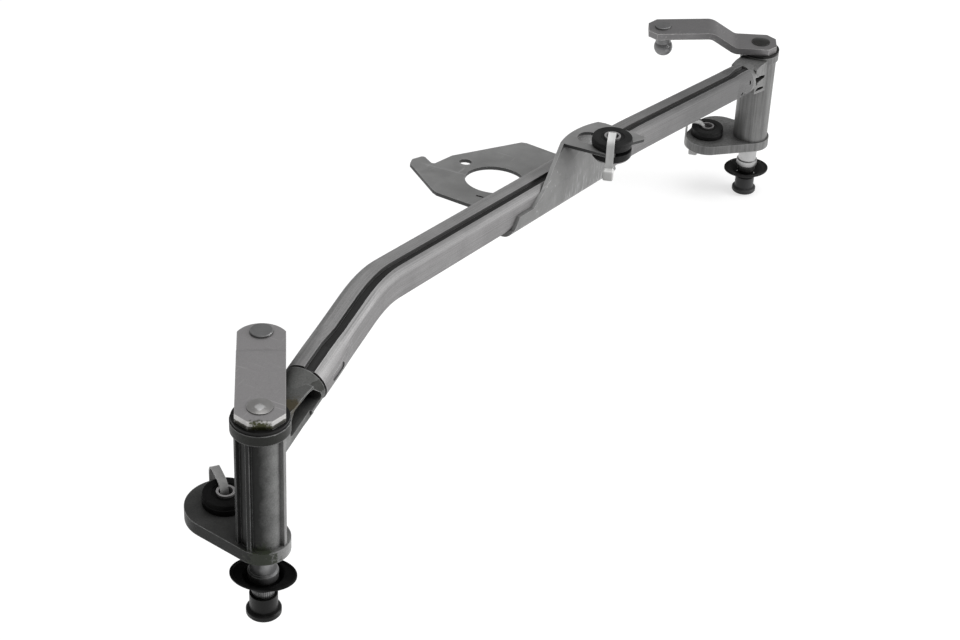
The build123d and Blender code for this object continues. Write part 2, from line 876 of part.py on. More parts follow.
def make_crank(name, site, direction, reach, bends, bend_round, end, end_radius):
    """Crank lever with two bends in its side view and the ball stud riveted at its end."""
    half = lever_width / 2
    flat = half - lever_chamfer
    angle = radians(direction)
    end_reach, end_rise = end
    turned = Plane(origin=site, x_dir=(cos(angle), sin(angle), 0), z_dir=(0, 0, 1))
    (u1, rise1), (u2, rise2) = bends
    step_angle = atan2(rise2 - rise1, u2 - u1)
    end_angle = atan2(end_rise - rise2, end_reach - u2)
    upper = [
        (-lever_tail, lever_top),
        (u1, lever_top + rise1),
        (u2, lever_top + rise2),
        (end_reach, lever_top + end_rise),
    ]
    lower = [(-lever_tail, lever_seat)]
    for (u, rise), before, after in ((bends[0], 0, step_angle), (bends[1], step_angle, end_angle)):
        lean = (before + after) / 2
        drop = lever_thickness / cos((after - before) / 2)
        lower.append((u + drop * sin(lean), lever_top + rise - drop * cos(lean)))
    lower.append((end_reach, lever_top + end_rise - lever_thickness / cos(end_angle)))
    inside = bend_round
    outside = bend_round + lever_thickness
    upper_radii = [inside, outside] if step_angle > 0 else [outside, inside]
    lower_radii = [outside, inside] if step_angle > 0 else [inside, outside]
    # the stud stands square to the lever's outer run
    joint_rise = lever_top + rise2 + (reach - u2) * tan(end_angle)
    joint = (site[0] + reach * cos(angle), site[1] + reach * sin(angle), site[2] + joint_rise)
    stud_plane = Plane(
        origin=joint,
        x_dir=(cos(angle) * cos(end_angle), sin(angle) * cos(end_angle), sin(end_angle)),
        z_dir=(sin(angle), -cos(angle), 0),
    )
    with BuildPart() as lever:
        with BuildSketch(upright(site, direction)):
            with BuildLine():
                FilletPolyline(*upper, radius=upper_radii)
                FilletPolyline(*lower, radius=lower_radii)
                Line(upper[0], lower[0])
                Line(upper[-1], lower[-1])
            make_face()
        extrude(amount=half, both=True)
        with BuildSketch(turned.offset(lever_seat - lever_thickness)):
            with BuildLine():
                if end_radius:
                    corner_u = end_reach - lever_chamfer
                    Polyline(
                        (corner_u, -half + 0.6),
                        (corner_u - 1.0, -half),
                        (-lever_tail + lever_chamfer, -half),
                        (-lever_tail, -flat),
                        (-lever_tail, flat),
                        (-lever_tail + lever_chamfer, half),
                        (corner_u - 1.0, half),
                        (corner_u, half - 0.6),
                    )
                    ThreePointArc((corner_u, half - 0.6), (end_reach, 0), (corner_u, -half + 0.6))
                else:
                    Polyline(
                        (end_reach, -flat),
                        (end_reach - lever_chamfer, -half),
                        (-lever_tail + lever_chamfer, -half),
                        (-lever_tail, -flat),
                        (-lever_tail, flat),
                        (-lever_tail + lever_chamfer, half),
                        (end_reach - lever_chamfer, half),
                        (end_reach, flat),
                        close=True,
                    )
            make_face()
        extrude(amount=6 * lever_thickness, mode=Mode.INTERSECT)
        with BuildSketch(turned.offset(lever_seat - lever_thickness)):
            Circle(neck_diameter / 2 + seat_clearance)
        extrude(amount=3 * lever_thickness, mode=Mode.SUBTRACT)
        stud_top = Plane(origin=joint, x_dir=stud_plane.x_dir, z_dir=stud_plane.y_dir)
        with BuildSketch(stud_top.offset(-2 * lever_thickness)):
            Circle(stud_diameter / 2 + seat_clearance)
        extrude(amount=3 * lever_thickness, mode=Mode.SUBTRACT)
    export_piece(lever, name + "_lever")
    # heights of the stud are measured from the lever's upper face
    centre = -ball_drop
    ball = ball_diameter / 2
    flat_height = (ball**2 - (ball_flat_diameter / 2) ** 2) ** 0.5
    neck_height = (ball**2 - stud_neck_radius**2) ** 0.5
    shank = stud_diameter / 2
    head = stud_head_diameter / 2
    with BuildPart() as stud:
        with BuildSketch(stud_plane):
            with BuildLine():
                Polyline(
                    (stud_neck_radius, centre + neck_height),
                    (stud_neck_radius, -lever_thickness - stud_collar_height),
                    (stud_collar_radius, -lever_thickness - stud_collar_height),
                    (stud_collar_radius, -lever_thickness),
                    (shank, -lever_thickness),
                    (shank, 0),
                    (head, 0),
                    (head, stud_head_height - 0.3),
                    (head - 0.3, stud_head_height),
                    (0, stud_head_height),
                    (0, centre - flat_height),
                    (ball_flat_diameter / 2, centre - flat_height),
                )
                ThreePointArc(
                    (ball_flat_diameter / 2, centre - flat_height),
                    (ball, centre),
                    (stud_neck_radius, centre + neck_height),
                )
            make_face()
        revolve(axis=Axis(joint, stud_plane.y_dir))
    export_piece(stud, name + "_ball_stud")


def make_rings(name, site):
    """Thrust washer, O-ring, shim and spring clip on the spindle."""
    with BuildPart() as washer:
        with BuildSketch(level(site, housing_height + end_float)):
            Circle(washer_radius)
            Circle(shaft_diameter / 2 + seat_clearance, mode=Mode.SUBTRACT)
        extrude(amount=washer_thickness)
    export_piece(washer, name + "_thrust_washer")
    with BuildPart() as ring:
        with BuildSketch(upright(site)):
            with Locations((shaft_diameter / 2 + 0.25, o_ring_height)):
                Circle(o_ring_section / 2)
        revolve(axis=Axis(site, (0, 0, 1)))
    export_piece(ring, name + "_o_ring")
    with BuildPart() as shim:
        with BuildSketch(level(site, -end_float - shim_thickness)):
            Circle(shim_radius)
            Circle(shaft_diameter / 2 + seat_clearance, mode=Mode.SUBTRACT)
        extrude(amount=shim_thickness)
    export_piece(shim, name + "_shim")
    with BuildPart() as clip:
        with BuildSketch(level(site, -end_float - shim_thickness - clip_thickness)):
            Circle(clip_outer_radius)
            Circle(clip_groove_radius + seat_clearance, mode=Mode.SUBTRACT)
            with Locations((0, -clip_outer_radius)):
                Rectangle(clip_opening, 2 * clip_outer_radius, mode=Mode.SUBTRACT)
        extrude(amount=clip_thickness)
    export_piece(clip, name + "_spring_clip")


def make_dish(name, site, height, direction, round_radius):
    """Rubber seal dish: a two-lobed rim over a cone that grips the spindle."""
    angle = radians(direction)
    lobe = dish_half_length - dish_lobe_radius
    mouth = round_radius - dish_shoulder - dish_wall
    hub = shaft_diameter / 2 + dish_wall + 0.4
    grip = shaft_diameter / 2 + seat_clearance
    rim_plane = Plane(
        origin=(site[0], site[1], site[2] + height),
        x_dir=(cos(angle), sin(angle), 0),
        z_dir=(0, 0, 1),
    )
    with BuildPart() as dish:
        with BuildSketch(rim_plane):
            Circle(round_radius)
            with Locations((lobe, 0), (-lobe, 0)):
                Circle(dish_lobe_radius)
            make_hull()
        extrude(amount=-dish_rim)
        revolve_profile(
            site,
            [
                (0, height),
                (mouth + dish_wall, height),
                (mouth + dish_wall, height - dish_rim),
                (hub, height - dish_depth + 0.6),
                (hub, height - dish_depth),
                (0, height - dish_depth),
            ],
        )
        with BuildSketch(upright(site)):
            with BuildLine():
                Polyline(
                    (0, height + 1),
                    (mouth, height + 1),
                    (mouth, height),
                    (hub - 0.2, height - dish_depth + dish_wall),
                    (grip, height - dish_depth + dish_wall),
                    (grip, height - dish_depth - 1),
                    (0, height - dish_depth - 1),
                    close=True,
                )
            make_face()
        revolve(axis=Axis(site, (0, 0, 1)), mode=Mode.SUBTRACT)
    export_piece(dish, name + "_seal_dish")


def make_cap(name, site):
    """Plastic cap screwed on the spindle's thread: an open cup with a ring at its foot."""
    thread = thread_diameter / 2 + seat_clearance
    with BuildPart() as cap:
        revolve_profile(
            site,
            [
                (0, cap_bottom),
                (cap_radius - cap_edge, cap_bottom),
                (cap_radius, cap_bottom + cap_edge),
                (cap_ring_radius - 0.6 * cap_edge, cap_bottom + 1.1 * cap_edge),
                (cap_ring_radius, cap_bottom + 1.9 * cap_edge),
                (cap_ring_radius, cap_bottom + 0.6 * cap_edge + cap_ring_height),
                (cap_ring_radius - 0.6 * cap_edge, cap_bottom + 1.2 * cap_edge + cap_ring_height),
                (cap_radius, cap_bottom + 1.8 * cap_edge + cap_ring_height),
                (cap_radius, cap_top),
                (cap_bore_radius, cap_top),
                (cap_bore_radius, cap_top - cap_bore_depth),
                (thread, cap_top - cap_bore_depth - cap_bore_cone),
                (thread, thread_end),
                (0, thread_end),
            ],
        )
    export_piece(cap, name + "_cap")


for name, site, rivet, dish_height, dish_angle, dish_radius in (
    ("near", near_site, near_rivet_diameter, near_dish_height, near_dish_angle, near_dish_radius),
    ("far", far_site, far_rivet_diameter, far_dish_height, far_dish_angle, far_dish_radius),
):
    make_bushes(name, site)
    make_spindle(name, site, rivet)
    make_rings(name, site)
    make_dish(name, site, dish_height, dish_angle, dish_radius)
    make_cap(name, site)

near_end = (near_end_reach, near_lever_bends[1][1])
far_end = (far_end_reach, far_end_rise)
make_crank(
    "near",
    near_site,
    near_crank_angle,
    near_crank_reach,
    near_lever_bends,
    near_bend_round,
    near_end,
    near_end_radius,
)
make_crank(
    "far", far_site, far_crank_angle, far_crank_reach, far_lever_bends, far_bend_round, far_end, 0
)
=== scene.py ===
import json
import math

import bpy
from mathutils import Matrix, Vector


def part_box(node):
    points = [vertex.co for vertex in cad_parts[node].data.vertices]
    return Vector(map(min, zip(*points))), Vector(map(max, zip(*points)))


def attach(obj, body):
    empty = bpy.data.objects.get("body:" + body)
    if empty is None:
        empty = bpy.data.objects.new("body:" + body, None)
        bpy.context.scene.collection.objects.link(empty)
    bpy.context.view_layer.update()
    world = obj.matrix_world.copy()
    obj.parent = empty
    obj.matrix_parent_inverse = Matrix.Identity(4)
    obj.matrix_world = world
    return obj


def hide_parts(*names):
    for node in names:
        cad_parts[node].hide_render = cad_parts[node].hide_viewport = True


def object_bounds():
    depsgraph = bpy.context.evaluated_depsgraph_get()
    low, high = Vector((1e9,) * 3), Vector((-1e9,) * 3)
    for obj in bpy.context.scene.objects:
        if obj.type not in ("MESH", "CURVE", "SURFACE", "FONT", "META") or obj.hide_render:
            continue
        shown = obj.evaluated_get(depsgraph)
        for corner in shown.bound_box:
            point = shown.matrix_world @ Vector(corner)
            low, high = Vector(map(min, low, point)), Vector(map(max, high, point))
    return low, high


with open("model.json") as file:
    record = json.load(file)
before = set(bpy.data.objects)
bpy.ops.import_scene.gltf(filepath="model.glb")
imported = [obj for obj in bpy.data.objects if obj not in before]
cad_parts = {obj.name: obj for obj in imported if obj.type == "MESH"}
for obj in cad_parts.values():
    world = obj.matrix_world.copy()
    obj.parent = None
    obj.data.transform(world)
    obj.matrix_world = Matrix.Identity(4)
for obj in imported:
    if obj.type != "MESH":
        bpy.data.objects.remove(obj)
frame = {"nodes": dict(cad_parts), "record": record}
cadLow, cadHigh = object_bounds()
nodes = frame["nodes"]
bodyOf = {
    node: body
    for body, members in frame["record"]["behaviour"]["bodies"].items()
    for node in members
}
print("frame loaded with", len(nodes), "nodes")

# the tube's centre line and groove, for its streaks, its flat top, dirt and painted shade in the groove and
# its darker far end
tubeLine = {
    "bendX": 0.0996,
    "bendZ": 0.0779,
    "bendBlend": 0.0098,
    "kinkX": 0.4078,
    "nearSlope": 0.2309,
    "mainSlope": -0.2506,
    "farSlope": -0.2856,
    "halfHeight": 0.00815,
    "topStart": 0.0035,  # depths under the tube's highest line
    "topFull": 0.0005,
    "grooveDeep": 0.0026,
    "grooveY": -0.0029,
    "grooveHalf": 0.0024,
    "grooveBlur": 0.0001,
    "farEndStart": 0.34,
    "farEndFull": 0.5,
    "farEndMost": 0.75,
}

# where each mask begins and where it is full
spans = {
    "wide": (0.3, 0.7),  # nearly all of a noise
    "middle": (0.35, 0.65),
    "patches": (0.42, 0.6),
    "scratch": (0.64, 0.72),
    "press": (0.5, 0.64),
    "filmPatches": (0.25, 0.6),
    "filmTurn": (0.55, 0.92),
    "sideTurn": (0.35, 0.5),
    "edgeTurn": (0.995, 0.86),
    "patchRim": (0.55, 1.0),
    "corner": (0.25, 0.85),
}


# shader helpers
def addNode(tree, kind, values=None, **settings):
    node = tree.nodes.new(kind)
    for name, value in settings.items():
        setattr(node, name, value)
    for name, value in (values or {}).items():
        node.inputs[name].default_value = value
    return node


def link(tree, source, target):
    tree.links.new(source, target)


def feed(tree, value, target):
    if isinstance(value, (int, float, tuple)):
        target.default_value = value
    else:
        link(tree, value, target)


def mathNode(tree, operation, first, second, clamp=False):
    node = addNode(tree, "ShaderNodeMath", operation=operation, use_clamp=clamp)
    feed(tree, first, node.inputs[0])
    feed(tree, second, node.inputs[1])
    return node.outputs[0]


def product(tree, first, second, clamp=False):
    return mathNode(tree, "MULTIPLY", first, second, clamp)


def vectorNode(tree, operation, first, second=(0.0, 0.0, 0.0)):
    node = addNode(tree, "ShaderNodeVectorMath", operation=operation)
    feed(tree, first, node.inputs[0])
    feed(tree, second, node.inputs[1])
    return node.outputs


def mapRange(tree, value, span, toLow=0.0, toHigh=1.0):
    node = addNode(tree, "ShaderNodeMapRange")
    link(tree, value, node.inputs["Value"])
    limits = {"From Min": span[0], "From Max": span[1], "To Min": toLow, "To Max": toHigh}
    for name, limit in limits.items():
        feed(tree, limit, node.inputs[name])
    return node.outputs["Result"]


def mixColour(tree, factor, first, second, blend="MIX"):
    node = addNode(tree, "ShaderNodeMix", data_type="RGBA", blend_type=blend)
    for index, value in ((0, factor), (6, first), (7, second)):
        feed(tree, (*value, 1) if isinstance(value, tuple) else value, node.inputs[index])
    return node.outputs[2]


def objectPlace(tree):
    return addNode(tree, "ShaderNodeTexCoord").outputs["Object"]


def splitVector(tree, vector):
    node = addNode(tree, "ShaderNodeSeparateXYZ")
    link(tree, vector, node.inputs[0])
    return node.outputs


def noiseOf(tree, place, values, scale=None):
    node = addNode(tree, "ShaderNodeTexNoise", values)
    link(tree, place, node.inputs["Vector"])
    if scale is not None:
        link(tree, scale, node.inputs["Scale"])
    return node.outputs["Fac"]


def newGroup(name, inputs, outputs):
    group = bpy.data.node_groups.new(name, "ShaderNodeTree")
    for label, default in inputs.items():
        kind = "NodeSocketVector" if isinstance(default, tuple) else "NodeSocketFloat"
        socket = group.interface.new_socket(name=label, in_out="INPUT", socket_type=kind)
        socket.default_value = default
    for label in outputs:
        group.interface.new_socket(name=label, in_out="OUTPUT", socket_type="NodeSocketFloat")
    return group, group.nodes.new("NodeGroupInput").outputs, group.nodes.new("NodeGroupOutput").inputs


# cast or plated skin: fine grain and slow smudges, with the grain's height
def makeGrainGroup():
    group, source, target = newGroup(
        "surfaceGrain",
        {"Grain Size": 1500.0, "Smudge Size": 60.0, "Grain": 0.3, "Smudge": 0.2},
        ["Tone", "Height", "Smudges"],
    )
    place = objectPlace(group)
    fine = {"Detail": 4.0, "Roughness": 0.7}
    slow = {"Detail": 5.0, "Roughness": 0.6, "Distortion": 0.4}
    grain = noiseOf(group, place, fine, source["Grain Size"])
    smudge = noiseOf(group, place, slow, source["Smudge Size"])
    grainPart = product(group, mathNode(group, "SUBTRACT", grain, 0.5), source["Grain"])
    smudgePart = product(group, mapRange(group, smudge, spans["wide"], -0.5, 0.5), source["Smudge"])
    change = mathNode(group, "ADD", grainPart, smudgePart)
    link(group, mathNode(group, "ADD", change, 1.0), target["Tone"])
    link(group, grain, target["Height"])
    link(group, smudge, target["Smudges"])
    return group


# worn edges and painted edge highlights: the rounded normal turns away from the face's own
def makeEdgeGroup():
    group, source, target = newGroup(
        "edgeWearAndHighlight", {"Width": 0.0006, "Breakup Size": 300.0, "Breakup": 0.5}, ["Mask"]
    )
    bevel = addNode(group, "ShaderNodeBevel", samples=6)
    link(group, source["Width"], bevel.inputs["Radius"])
    own = addNode(group, "ShaderNodeNewGeometry").outputs["Normal"]
    turn = vectorNode(group, "DOT_PRODUCT", bevel.outputs["Normal"], own)["Value"]
    edge = mapRange(group, turn, spans["edgeTurn"])
    noise = noiseOf(group, objectPlace(group), {"Detail": 3.0}, source["Breakup Size"])
    patchy = mapRange(group, noise, spans["middle"], 1.0, 0.0)
    kept = mathNode(group, "SUBTRACT", 1.0, product(group, patchy, source["Breakup"]))
    link(group, product(group, edge, kept, clamp=True), target["Mask"])
    return group


# short handling scratches in two directions, gathered in patches
def makeScratchGroup():
    group, source, target = newGroup("scratches", {"Scale": 800.0, "Amount": 0.5}, ["Mask"])
    directions = [
        {"Rotation": (0.3, 0.5, 0.7), "Scale": (1.0, 0.05, 1.0)},
        {"Rotation": (0.9, -0.4, 2.2), "Scale": (0.07, 1.0, 1.0)},
    ]
    place = objectPlace(group)
    parts = []
    for direction in directions:
        mapping = addNode(group, "ShaderNodeMapping", direction)
        link(group, place, mapping.inputs["Vector"])
        lines = {"Detail": 2.0, "Roughness": 0.6}
        noise = noiseOf(group, mapping.outputs["Vector"], lines, source["Scale"])
        parts.append(mapRange(group, noise, spans["scratch"]))
    area = noiseOf(group, place, {"Scale": 45.0, "Detail": 1.0})
    both = mathNode(group, "MAXIMUM", parts[0], parts[1])
    mask = product(group, both, mapRange(group, area, spans["patches"]))
    link(group, product(group, mask, source["Amount"], clamp=True), target["Mask"])
    return group


# drawing streaks along the bent tube, its flat top, dirt and painted shade in its groove and its darker far
# end
def makeDrawnGroup():
    group, source, target = newGroup(
        "drawnTube", {"Fine": 900.0, "Along": 6.0}, ["Streaks", "Top", "Groove", "Far End"]
    )
    split = splitVector(group, objectPlace(group))
    fromBend = mathNode(group, "SUBTRACT", split["X"], tubeLine["bendX"])
    bend = addNode(group, "ShaderNodeMath", operation="SMOOTH_MIN")
    link(group, product(group, fromBend, tubeLine["nearSlope"]), bend.inputs[0])
    link(group, product(group, fromBend, tubeLine["mainSlope"]), bend.inputs[1])
    bend.inputs[2].default_value = tubeLine["bendBlend"]
    fromKink = mathNode(group, "SUBTRACT", split["X"], tubeLine["kinkX"])
    pastKink = mathNode(group, "MAXIMUM", fromKink, 0.0)
    extra = product(group, pastKink, tubeLine["farSlope"] - tubeLine["mainSlope"])
    centre = mathNode(group, "ADD", bend.outputs[0], tubeLine["bendZ"])
    above = mathNode(group, "SUBTRACT", split["Z"], mathNode(group, "ADD", centre, extra))
    mixed = addNode(group, "ShaderNodeCombineXYZ")
    link(group, product(group, split["X"], source["Along"]), mixed.inputs["X"])
    link(group, product(group, split["Y"], source["Fine"]), mixed.inputs["Y"])
    link(group, product(group, above, source["Fine"]), mixed.inputs["Z"])
    streaks = noiseOf(group, mixed.outputs[0], {"Scale": 1.0, "Detail": 5.0, "Roughness": 0.65})
    link(group, streaks, target["Streaks"])
    limit = tubeLine["halfHeight"]
    topSpan = (limit - tubeLine["topStart"], limit - tubeLine["topFull"])
    link(group, mapRange(group, above, topSpan), target["Top"])
    side = mathNode(group, "SUBTRACT", split["Y"], tubeLine["grooveY"])
    side = mathNode(group, "ABSOLUTE", side, 0.0)
    half = tubeLine["grooveHalf"]
    rimSpan = (half - tubeLine["grooveBlur"], half + tubeLine["grooveBlur"])
    inside = mapRange(group, side, rimSpan, 1.0, 0.0)
    high = mathNode(group, "GREATER_THAN", above, limit - tubeLine["grooveDeep"])
    link(group, product(group, inside, high), target["Groove"])
    dullSpan = (tubeLine["farEndStart"], tubeLine["farEndFull"])
    link(group, mapRange(group, split["X"], dullSpan, 0.0, tubeLine["farEndMost"]), target["Far End"])
    return group


# one patch with a ragged edge: grease stains, and the near rivet head's painted highlight
def makePatchGroup():
    group, source, target = newGroup(
        "greaseAndHighlightPatch", {"Middle": (0.0, 0.0, 0.0), "Reach": 0.008, "Rag": 0.6}, ["Mask"]
    )
    place = objectPlace(group)
    away = vectorNode(group, "DISTANCE", place, source["Middle"])["Value"]
    share = mathNode(group, "DIVIDE", away, source["Reach"])
    noise = noiseOf(group, place, {"Scale": 420.0, "Detail": 4.0, "Roughness": 0.7})
    swing = product(group, mapRange(group, noise, spans["wide"], -1.0, 1.0), source["Rag"])
    edge = mathNode(group, "ADD", share, swing)
    link(group, mapRange(group, edge, spans["patchRim"], 1.0, 0.0), target["Mask"])
    return group


# a band between two heights, with a broken border, for oily heights and rivet heads
def makeBandGroup():
    group, source, target = newGroup("heightBand", {"Low": 0.0, "High": 1.0, "Rag": 0.0003}, ["Mask"])
    place = objectPlace(group)
    noise = noiseOf(group, place, {"Scale": 500.0, "Detail": 3.0})
    shift = product(group, mathNode(group, "SUBTRACT", noise, 0.5), source["Rag"])
    height = mathNode(group, "ADD", splitVector(group, place)["Z"], shift)
    over = mathNode(group, "GREATER_THAN", height, source["Low"])
    under = mathNode(group, "LESS_THAN", height, source["High"])
    link(group, product(group, over, under), target["Mask"])
    return group


# dust and handling film on what faces up
def makeFilmGroup():
    group, source, target = newGroup(
        "upperFilm", {"Patch Size": 70.0, "Least": 0.6, "Amount": 0.4}, ["Mask"]
    )
    normal = addNode(group, "ShaderNodeNewGeometry").outputs["Normal"]
    facing = mapRange(group, splitVector(group, normal)["Z"], spans["filmTurn"])
    patch = {"Detail": 4.0, "Roughness": 0.6}
    noise = noiseOf(group, objectPlace(group), patch, source["Patch Size"])
    patchy = mapRange(group, noise, spans["filmPatches"], source["Least"], 1.0)
    mask = product(group, facing, patchy)
    link(group, product(group, mask, source["Amount"]), target["Mask"])
    return group


# side faces of sheet metal, between two heights or all that lies past a line in Y: dark sheared sides, and a
# painted highlight on all the near lever's sides
def makeSideFacesGroup():
    group, source, target = newGroup("sideFacesMask", {"Low": 0.0, "High": 0.01, "Past Y": 1.0}, ["Mask"])
    normal = addNode(group, "ShaderNodeNewGeometry").outputs["True Normal"]
    upright = mathNode(group, "ABSOLUTE", splitVector(group, normal)["Z"], 0.0)
    side = mapRange(group, upright, spans["sideTurn"], 1.0, 0.0)
    place = splitVector(group, objectPlace(group))
    over = mathNode(group, "GREATER_THAN", place["Z"], source["Low"])
    under = mathNode(group, "LESS_THAN", place["Z"], source["High"])
    past = mathNode(group, "GREATER_THAN", place["Y"], source["Past Y"])
    where = mathNode(group, "MAXIMUM", product(group, over, under), past)
    link(group, product(group, side, where), target["Mask"])
    return group


# upright press marks on the lower part of a bent sheet, on its outer side
def makePressGroup():
    group, source, target = newGroup(
        "pressMarks", {"Top": 0.04, "Fade": 0.02, "Before Y": -0.002, "Amount": 0.5}, ["Mask"]
    )
    place = objectPlace(group)
    split = splitVector(group, place)
    lay = {"Rotation": (0.0, 0.25, 0.0), "Scale": (480.0, 90.0, 70.0)}
    stretched = addNode(group, "ShaderNodeMapping", lay)
    link(group, place, stretched.inputs["Vector"])
    lines = {"Scale": 1.0, "Detail": 4.0, "Roughness": 0.6}
    noise = noiseOf(group, stretched.outputs["Vector"], lines)
    area = noiseOf(group, place, {"Scale": 95.0, "Detail": 2.0})
    marks = mapRange(group, noise, spans["press"])
    marks = product(group, marks, mapRange(group, area, spans["patches"]))
    below = mathNode(group, "SUBTRACT", source["Top"], split["Z"])
    below = mathNode(group, "DIVIDE", below, source["Fade"], clamp=True)
    outward = mathNode(group, "LESS_THAN", split["Y"], source["Before Y"])
    mask = product(group, product(group, marks, below), outward)
    link(group, product(group, mask, source["Amount"]), target["Mask"])
    return group


# fine lines from casting or turning, long in one direction
def makeStreakGroup():
    group, source, target = newGroup(
        "fineStreaks", {"Stretch": (900.0, 900.0, 30.0), "Amount": 0.2}, ["Tone"]
    )
    stretched = vectorNode(group, "MULTIPLY", objectPlace(group), source["Stretch"])["Vector"]
    noise = noiseOf(group, stretched, {"Scale": 1.0, "Detail": 4.0, "Roughness": 0.6})
    lines = mapRange(group, noise, spans["wide"], -1.0, 1.0)
    link(group, product(group, lines, source["Amount"]), target["Tone"])
    return group


# painted shade and painted sheen round an upright axis, heaviest towards one direction
def makeSideLightGroup():
    group, source, target = newGroup(
        "paintedSideLight",
        {"Direction": (-1.0, 0.0, 0.0), "Start": 0.0, "Full": 0.6, "Rag": 0.12, "Amount": 1.0},
        ["Mask"],
    )
    place = objectPlace(group)
    level = vectorNode(group, "MULTIPLY", place, (1.0, 1.0, 0.0))["Vector"]
    away = vectorNode(group, "NORMALIZE", level)["Vector"]
    turn = vectorNode(group, "DOT_PRODUCT", away, source["Direction"])["Value"]
    noise = noiseOf(group, place, {"Scale": 130.0, "Detail": 5.0, "Roughness": 0.65})
    swing = product(group, mapRange(group, noise, spans["wide"], -1.0, 1.0), source["Rag"])
    value = mathNode(group, "ADD", turn, swing)
    mask = mapRange(group, value, (source["Start"], source["Full"]))
    link(group, product(group, mask, source["Amount"]), target["Mask"])
    return group


groups = {
    "grain": makeGrainGroup(),
    "edge": makeEdgeGroup(),
    "scratch": makeScratchGroup(),
    "drawn": makeDrawnGroup(),
    "greaseAndHighlight": makePatchGroup(),
    "band": makeBandGroup(),
    "film": makeFilmGroup(),
    "sideFaces": makeSideFacesGroup(),
    "press": makePressGroup(),
    "streak": makeStreakGroup(),
    "sideShadeAndSheen": makeSideLightGroup(),
}


def placeGroup(tree, name, values):
    node = tree.nodes.new("ShaderNodeGroup")
    node.node_tree = groups[name]
    for label, value in values.items():
        node.inputs[label].default_value = value
    return node


# one finish from its settings: base, streaks, layers of colour in their order (among them painted shade and
# painted sheen), worn edges with painted edge highlights, painted shade and dirt in corners, grease patches
# and a painted highlight
def makeFinish(name, look):
    material = bpy.data.materials.new(name)
    material.use_nodes = True
    tree = material.node_tree
    shader = tree.nodes["Principled BSDF"]
    shader.inputs["Metallic"].default_value = look["metallic"]
    shader.inputs["IOR"].default_value = look["ior"]
    shader.inputs["Specular IOR Level"].default_value = look["specular"]
    grain = placeGroup(tree, "grain", {
        "Grain Size": look["grainSize"],
        "Smudge Size": look["smudgeSize"],
        "Grain": look["grain"],
        "Smudge": look["smudge"],
    })
    tone = grain.outputs["Tone"]
    blotch = mapRange(tree, grain.outputs["Smudges"], spans["middle"])
    colour = mixColour(tree, blotch, look["colour"], look["second"])
    if "drawn" in look:
        drawn = placeGroup(tree, "drawn", look["drawn"])
        streak = mapRange(tree, drawn.outputs["Streaks"], spans["wide"], -look["streak"], look["streak"])
        tone = mathNode(tree, "ADD", tone, streak)
        colour = mixColour(tree, drawn.outputs["Top"], colour, look["top"])
        # darker towards the far end
        colour = mixColour(tree, drawn.outputs["Far End"], colour, look["farEnd"])
        # dirt and painted shade in the groove
        colour = mixColour(tree, drawn.outputs["Groove"], colour, look["groove"])
    if "lines" in look:
        lines = placeGroup(tree, "streak", look["lines"])
        tone = mathNode(tree, "ADD", tone, lines.outputs["Tone"])
    for kind, values, tint in look.get("layers", []):
        layer = placeGroup(tree, kind, values)
        colour = mixColour(tree, layer.outputs["Mask"], colour, tint)
    grey = addNode(tree, "ShaderNodeCombineColor")
    for channel in range(3):
        link(tree, tone, grey.inputs[channel])
    colour = mixColour(tree, 1.0, colour, grey.outputs[0], blend="MULTIPLY")
    edge = placeGroup(tree, "edge", {
        "Width": look["edgeWidth"],
        "Breakup Size": look["edgeBreakSize"],
        "Breakup": look["edgeBreak"],
    })
    wearAndHighlight = product(tree, edge.outputs["Mask"], look["edgeAmount"])
    if "scratch" in look:
        scratch = placeGroup(tree, "scratch", {"Scale": look["scratchScale"], "Amount": look["scratch"]})
        wearAndHighlight = mathNode(tree, "MAXIMUM", wearAndHighlight, scratch.outputs["Mask"])
    colour = mixColour(tree, wearAndHighlight, colour, look["edgeColour"])
    # dirt and shade where two surfaces meet
    corner = addNode(tree, "ShaderNodeAmbientOcclusion", {"Distance": look["shadeAndDirtReach"]}, samples=8)
    shadeAndDirt = mapRange(tree, corner.outputs["AO"], spans["corner"], look["shadeAndDirt"], 0.0)
    colour = mixColour(tree, shadeAndDirt, colour, look["shadeAndDirtColour"])
    rough = mapRange(tree, grain.outputs["Smudges"], spans["wide"], *look["rough"])
    rough = mapRange(tree, wearAndHighlight, (0.0, 1.0), rough, look["edgeRough"])
    for values, tint in look.get("greaseAndHighlight", []):
        patch = placeGroup(tree, "greaseAndHighlight", values)
        colour = mixColour(tree, patch.outputs["Mask"], colour, tint)
        rough = mapRange(tree, patch.outputs["Mask"], (0.0, 1.0), rough, look["patchRough"])
    link(tree, colour, shader.inputs["Base Color"])
    link(tree, rough, shader.inputs["Roughness"])
    bump = addNode(tree, "ShaderNodeBump", {"Strength": look["bump"], "Distance": look["bumpDepth"]})
    link(tree, grain.outputs["Height"], bump.inputs["Height"])
    link(tree, bump.outputs["Normal"], shader.inputs["Normal"])
    return material


plainMetal = {
    "ior": 1.5, "specular": 0.5, "edgeBreakSize": 300.0, "edgeBreak": 0.5,
    "shadeAndDirt": 0.7, "shadeAndDirtReach": 0.006, "shadeAndDirtColour": (0.02, 0.02, 0.018),
    "bump": 0.12, "bumpDepth": 0.0002, "patchRough": 0.28,
}
plainSoft = {
    "metallic": 0.0, "ior": 1.45, "specular": 0.2, "edgeBreakSize": 300.0, "edgeBreak": 0.3,
    "shadeAndDirt": 0.8, "shadeAndDirtReach": 0.005, "shadeAndDirtColour": (0.001, 0.001, 0.001),
    "bump": 0.15, "bumpDepth": 0.0002,
}
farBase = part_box("far_housing")[0].z
leverSeat = 0.0716  # height of the levers' undersides over the flanges'
leverDark = (leverSeat - 0.001, leverSeat + 0.002)  # the oily lower half of the near lever
rivetBase = leverSeat + 0.001  # the spindles' riveted heads are tinted from here up
shadedSide = (-0.75, 0.66, 0.0)  # the near barrel's side that faces left from the camera, where shade is painted
